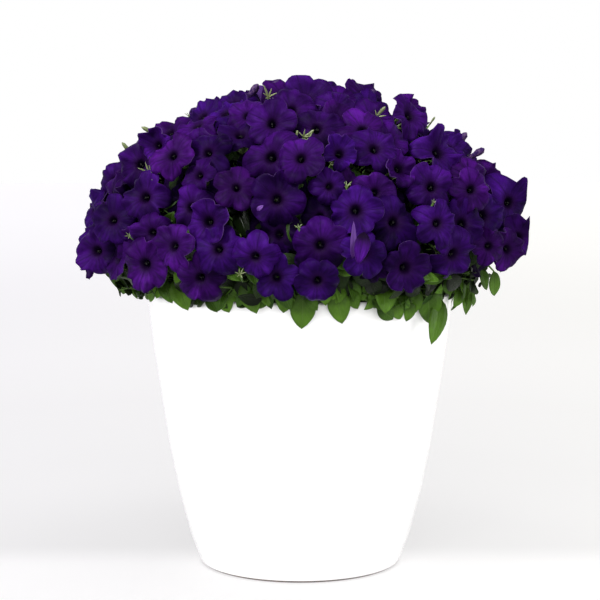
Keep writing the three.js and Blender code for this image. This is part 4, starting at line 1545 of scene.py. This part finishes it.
def hangRimLeaves():
    for u, v, pixels, lean in rimLeaves:
        tip = sightOnRim(u, v)
        length = pixels * (viewpoint["distance"] / mm + tip[1]) / viewpoint["focal"]
        share = rimForm["wide"][(u, v) in rimForm["slender"]]
        addRimLeaf(tip, length, lean, rng.uniform(*rimForm["tone"]), share, None, True)


def hangBackLeaves():
    draw = makeDraw(backLeaves["seed"])
    lowest, tipSpread = backLeaves["tip"]
    shortest, lengthSpread = backLeaves["length"]
    for i in range(backLeaves["count"]):
        turn = math.pi * (i + 0.5) / backLeaves["count"]
        tip = pointAround(rimForm["radius"], turn, lowest + tipSpread * draw())
        length = shortest + lengthSpread * draw()
        lean = backLeaves["lean"] * (draw() - 0.5)
        addRimLeaf(tip, length, lean, rng.uniform(*backLeaves["tone"]), backLeaves["wide"])


def fillSkirt():
    # every other leaf hangs behind the rest
    rare, brightest = skirt["tone"]
    left, right = skirt["bare"]
    for i in range(skirt["count"]):
        turn = fullTurn * (i + rng.random()) / skirt["count"]
        behind = i % 2 == 0
        away = rng.uniform(*skirt["inner" if behind else "outer"])
        tip = pointAround(away, turn, rng.uniform(*skirt["tips"]))
        length = rng.uniform(*skirt["length"])
        lean = rng.uniform(-1, 1) * skirt["lean"]
        if not (tip[1] < 0 and left < tip[0] < right) or rng.random() < skirt["bareShare"]:
            tone = rng.random() ** rare * brightest
            share = rng.uniform(*skirt["wide"])
            addRimLeaf(tip, length, lean, tone, share, innerShade if behind else None)


hangRimLeaves()
hangBackLeaves()
fillSkirt()

leafyForm = {
    "length": (18, 27), "tone": (0.1, 1.0), "sunk": (14, 24), "wide": (0.5, 0.64), "flat": 0.8,
    "lean": 1.5, "outwards": 0.35, "turned": 0.5,
    "hangsBelow": 284,      # lower places of the picture have leaves that hang over the rim
    "drop": 8,
}
thinShoot = [1.0, 1.1, 1.2, 1.3, 1.4, 1.5, 1.6]     # radii from what it carries to its stem


def addLeafyPlace(u, v, reach, count):
    for _ in range(count):
        across = rng.uniform(-1, 1) * reach
        down = rng.uniform(-1, 1) * reach * leafyForm["flat"]
        length = rng.uniform(*leafyForm["length"])
        if v + down > leafyForm["hangsBelow"]:
            tip = sightOnRim(u + across, v + down + leafyForm["drop"])
            lean = rng.uniform(-1.0, 1.0)
            tone = rng.uniform(*leafyForm["tone"])
            addRimLeaf(tip, length, lean, tone, rng.uniform(*leafyForm["wide"]))
            continue
        unit = sightOnDome(u + across, v + down)
        foot = domeCentre + domeSize * unit
        normal = unitOf(unit / domeSize)
        index, sector = carrierOf(unit)
        middle = foot - normal * rng.uniform(*leafyForm["sunk"])
        lean = rng.uniform(-1, 1) * leafyForm["lean"]
        along = unitOf(np.array((math.sin(lean), 0.0, -math.cos(lean))) + normal * leafyForm["outwards"])
        turned = np.array((rng.uniform(-1, 1), 0.0, rng.uniform(0, 1)))
        face = unitOf(unitOf(eye - foot) + leafyForm["turned"] * turned)
        base = middle - along * length * 0.5
        addLeaf(sector, base, along, face, length, rng.uniform(*leafyForm["tone"]), None, None)
        joinToStem(sector, index, base, unitOf(along + normal), thinShoot)


innerLeaves = {
    "count": 680, "lowest": -0.36, "share": (0.77, 0.90), "length": (24.0, 36.0),
    "offRim": 187.0, "rimTop": 324.0, "lowestTip": 318.0,
    "bare": (163, 288, 18),   # where the rim shows bare in the usual picture, and how far round
    "turn": 2.0, "lift": (-0.2, 0.3), "turned": 0.6, "tone": (0.0, 0.6), "wide": 0.58,
    "shoot": [0.8, 1.0, 1.2],
    "shootSides": 4,
}


def addInnerLeaf(i):
    turn = i * goldenAngle + innerLeaves["turn"]
    unit = unitAt(turn, heightAt(i, innerLeaves["count"], innerLeaves["lowest"]))
    foot = domeCentre + domeSize * unit * rng.uniform(*innerLeaves["share"])
    if foot[2] < innerLeaves["rimTop"]:
        foot[:2] *= max(1.0, innerLeaves["offRim"] / math.hypot(foot[0], foot[1]))
    normal = unitOf(unit / domeSize)
    side, rise = frameOf(normal)
    turn = rng.uniform(0, fullTurn)
    lift = rng.uniform(*innerLeaves["lift"])
    along = unitOf(side * math.cos(turn) + rise * math.sin(turn) + normal * lift)
    length = rng.uniform(*innerLeaves["length"])
    lowest = foot[2] - abs(along[2]) * length * 0.5
    foot[2] += max(0.0, innerLeaves["lowestTip"] - lowest)
    face = unitOf(normal + innerLeaves["turned"] * np.array([rng.uniform(-1, 1) for _ in range(3)]))
    if foot[1] < 0 and isWithin(foot, [innerLeaves["bare"]]):
        return
    base = foot - along * length * 0.5
    index, sector = carrierOf(unit)
    tone = rng.uniform(*innerLeaves["tone"])
    mood = leafMood(rng, length, length * innerLeaves["wide"])
    matrix = leafPlacement(base, along, face)
    addShape(leafPieces[sector], plainLeaf, matrix, tone, mood, leafSlots["leaf"], paintedShadeByDepth)
    joint = nextJoint(index)
    path = [base, base * 0.5 + joint * 0.5, joint]
    growShoot(sector, path, innerLeaves["shoot"], innerLeaves["shootSides"])


for i in range(innerLeaves["count"]):
    addInnerLeaf(i)

# what stands between the blooms: its place in the usual picture, its size, and the way it points there
sepalStars = [
    [268, 100, 14, 0.3], [272, 108, 10, -0.6], [150, 174, 14, -0.4], [303, 139, 10, 0.5],
    [346, 187, 6, 0.2],
    [298, 228, 5, -0.3], [130, 236, 5, 0.1], [432, 203, 4, 0.0], [375, 119, 9, 0.9], [350, 121, 8, -0.4],
    [240, 274, 7, 0.2], [154, 176, 10, 0.6], [308, 142, 8, -0.5],
]
greenBuds = [
    [378, 116, 18, 0.75], [296, 139, 13, 0.2], [308, 138, 16, 0.8], [152, 134, 24, -1.1],
    [120, 146, 22, -0.7], [529, 198, 18, 1.1], [442, 112, 12, 0.6],
]
violetBuds = [
    [272, 87, 26, 0.45], [251, 90, 24, 0.6], [376, 88, 20, 0.15], [461, 140, 22, 0.7], [473, 156, 22, 1.0],
]
foldedPetals = [  # place, length, width, the way it points, its tone, and its finish: 0 face, 1 back
    [350, 243, 36, 6, 0.1, 1.15, 1], [357, 248, 33, 15, 3.3, 0.5, 0], [262, 213, 8, 4, 0.9, 1.3, 1],
]
aroundDome = {
    "count": 54, "height": (0.08, 0.97), "from": 0.25,
    "sizes": {"star": (5, 12), "green": (12, 20), "violet": (17, 25)},
}
standForm = {"below": 20, "towards": 0.35, "star": 1, "bud": 3, "petal": 15}    # lifts off the dome
starForm = {
    "sepals": 6, "spread": (0.35, 1.25), "length": (0.8, 1.15), "wide": 0.14, "tone": (0.3, 1.0),
    "spin": 1.2,
}
budKinds = {"green": (0.5, "greenBud"), "violet": (0.9, "violetBud")}           # thickness and finish
greenBudTone = (0.4, 0.9)
budCalyx = {"below": 4, "radius": 5.0, "tone": 0.4, "stalkBelow": 3}            # of a violet bud
foldedLean = 0.4        # how far a folded petal faces away from the dome


def standOn(unit, lift, way):
    # a point just over the dome, and the direction it points in, seen from the usual side or from its own
    foot = domeCentre + domeSize * unit
    foot[2] = max(foot[2], dome["lowest"] - standForm["below"])
    normal = unitOf(unit / domeSize)
    towards = unitOf(eye - foot) if unit[1] < 0 else normal
    across = unitOf(np.cross((0.0, 0.0, 1.0), -towards)) * -1
    risen = unitOf(np.cross(across, -towards)) * -1
    if risen[2] < 0:
        risen = -risen
    if across[0] < 0:
        across = -across
    along = unitOf(across * math.sin(way) + risen * math.cos(way) + standForm["towards"] * towards)
    return foot + normal * lift, along, normal, towards


def addStar(place, along, size, tone, sector):
    side, rise = frameOf(along)
    turn = rng.uniform(0, starForm["spin"])
    for k in range(starForm["sepals"]):
        angle = turn + fullTurn * k / starForm["sepals"]
        out = side * math.cos(angle) + rise * math.sin(angle)
        spread = rng.uniform(*starForm["spread"])
        blade = unitOf(along * math.cos(spread) + out * math.sin(spread))
        face = unitOf(along * math.sin(spread) - out * math.cos(spread))
        length = size * rng.uniform(*starForm["length"])
        addShape(leafPieces[sector], leafBlank, leafPlacement(place, blade, face), tone,
                 leafMood(rng, length, length * starForm["wide"]), leafSlots["sepal"])


def addBud(foot, along, length, kind, tone, sector):
    thickness, finish = budKinds[kind]
    side, rise = frameOf(along)
    columns = side * length * thickness, rise * length * thickness, along * length
    matrix = matrixOf([way * mm for way in columns], foot)
    addShape(stalkPieces[sector], budBlank, matrix, tone, None, stalkSlots[finish])


def addSepalStar(unit, size, way):
    place, along, normal, towards = standOn(unit, standForm["star"], way)
    index, sector = carrierOf(unit)
    addStar(place, unitOf(along + towards), size, rng.uniform(*starForm["tone"]), sector)
    joinToStem(sector, index, place, unitOf(along + normal), thinShoot)


def addGreenBud(unit, length, way):
    place, along, _, _ = standOn(unit, standForm["bud"], way)
    index, sector = carrierOf(unit)
    foot = place - along * length * 0.5
    addBud(foot, along, length, "green", rng.uniform(*greenBudTone), sector)
    joinToStem(sector, index, foot, along, thinShoot)


def addVioletBud(unit, length, way):
    place, along, _, _ = standOn(unit, standForm["bud"], way)
    index, sector = carrierOf(unit)
    foot = place - along * length * 0.5
    addBud(foot, along, length, "violet", rng.random(), sector)
    addCalyx(sector, foot - along * budCalyx["below"], along, budCalyx["radius"], budCalyx["tone"])
    joinToStem(sector, index, foot - along * budCalyx["stalkBelow"], along, thinShoot)


def addDetails():
    for adder, places in ((addSepalStar, sepalStars), (addGreenBud, greenBuds), (addVioletBud, violetBuds)):
        for u, v, size, way in places:
            adder(sightOnDome(u, v), size, way)
    for u, v, length, width, way, tone, finish in foldedPetals:
        unit = sightOnDome(u, v)
        place, along, normal, towards = standOn(unit, standForm["petal"], way)
        _, sector = carrierOf(unit)
        face = unitOf(towards + foldedLean * normal)
        matrix = leafPlacement(place - along * length * 0.5, along, face)
        addShape(petalPieces[sector], petalBlank, matrix, tone, leafMood(rng, length, width), finish)
    for i in range(aroundDome["count"]):
        height = rng.uniform(*aroundDome["height"])
        unit = unitAt(rng.uniform(aroundDome["from"], math.pi - aroundDome["from"]), height)
        adder, kind = ((addSepalStar, "star"), (addGreenBud, "green"), (addVioletBud, "violet"))[i % 3]
        adder(unit, rng.uniform(*aroundDome["sizes"][kind]), rng.uniform(-1.0, 1.0))


addDetails()
for place in leafyPlaces:
    addLeafyPlace(*place)

sepalPaint = makeSepalSkin()
petalPaints = [makePetalFace(), makePetalBack(), makeBacklitPetalEdge()]
leafPaints = [makeLeafFace(), makeLeafBack(), sepalPaint, sepalPaint]
stalkPaints = [makeStemSkin(), sepalPaint, makeBudSkin()]


def thicken(piece, thickness, inner, edge):
    wall = piece.modifiers.new("thickness", "SOLIDIFY")
    wall.thickness = thickness
    wall.offset = -1.0
    wall.material_offset = inner
    wall.material_offset_rim = edge


def finishPlant():
    for sector in range(stemPlan["sectors"]):
        nodes = [stem["node"] for stem in stems if stem["sector"] == sector]
        petals = makePiece(f"blooms{sector + 1}", petalPieces[sector], petalPaints)
        thicken(petals, bloomForm["thickness"], 1, 2)
        leaves = makePiece(f"leaves{sector + 1}", leafPieces[sector], leafPaints)
        thicken(leaves, leafForm["thickness"], 1, 0)
        stalks = makePiece(f"stalks{sector + 1}", stalkPieces[sector], stalkPaints)
        for piece, slot in ((petals, "petals"), (leaves, "foliage"), (stalks, "foliage")):
            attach(piece, "root")
            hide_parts(*nodes)
            litByPanels["plant"].objects.link(piece)
    hearts = makePiece("stamens", stamenPiece, [makeStamenSkin()])
    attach(hearts, "root")
    litByPanels["plant"].objects.link(hearts)


finishPlant()

print("soil")

soilForm = {
    "top": 298.0, "crown": 4.0, "radius": 168.0,
    "strewnTo": 0.985,      # how far out the bits lie, as a share of the radius
    "sunk": 0.3,            # how far a bit's middle lies over the soil, as a share of its radius
    "crumbs": (420, (1.5, 4.5)),        # how many, and their least and greatest radius
    "perlite": (160, (1.0, 2.6)),
}


def strewBit(bm, sizes):
    away = soilForm["radius"] * math.sqrt(rng.random()) * soilForm["strewnTo"]
    turn = rng.uniform(0, fullTurn)
    height = soilForm["top"] + soilForm["crown"] * (1 - away / soilForm["radius"])
    radius = rng.uniform(*sizes)
    place = Vector(pointAround(away, turn, height + soilForm["sunk"] * radius)) * mm
    shares = [radius * mm * rng.uniform(0.6, 1.2) for _ in range(3)]
    angle = rng.uniform(0, 6.3)
    axis = Vector((rng.random(), rng.random(), 1)).normalized()
    matrix = Matrix.Translation(place) @ Matrix.Rotation(angle, 4, axis) @ Matrix.Diagonal((*shares, 1))
    addShape(bm, bead, matrix, 0.5)


def dressSoil():
    crumb = makeSoilCrumb()
    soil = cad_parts["potting_soil"]
    soil.data.materials.clear()
    soil.data.materials.append(crumb)
    for name, (count, sizes), material in (
        ("soilCrumbs", soilForm["crumbs"], crumb),
        ("perliteBits", soilForm["perlite"], makePerlite()),
    ):
        bm = bmesh.new()
        for _ in range(count):
            strewBit(bm, sizes)
        piece = makePiece(name, bm, [material], smooth=False)
        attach(piece, "root")


dressSoil()
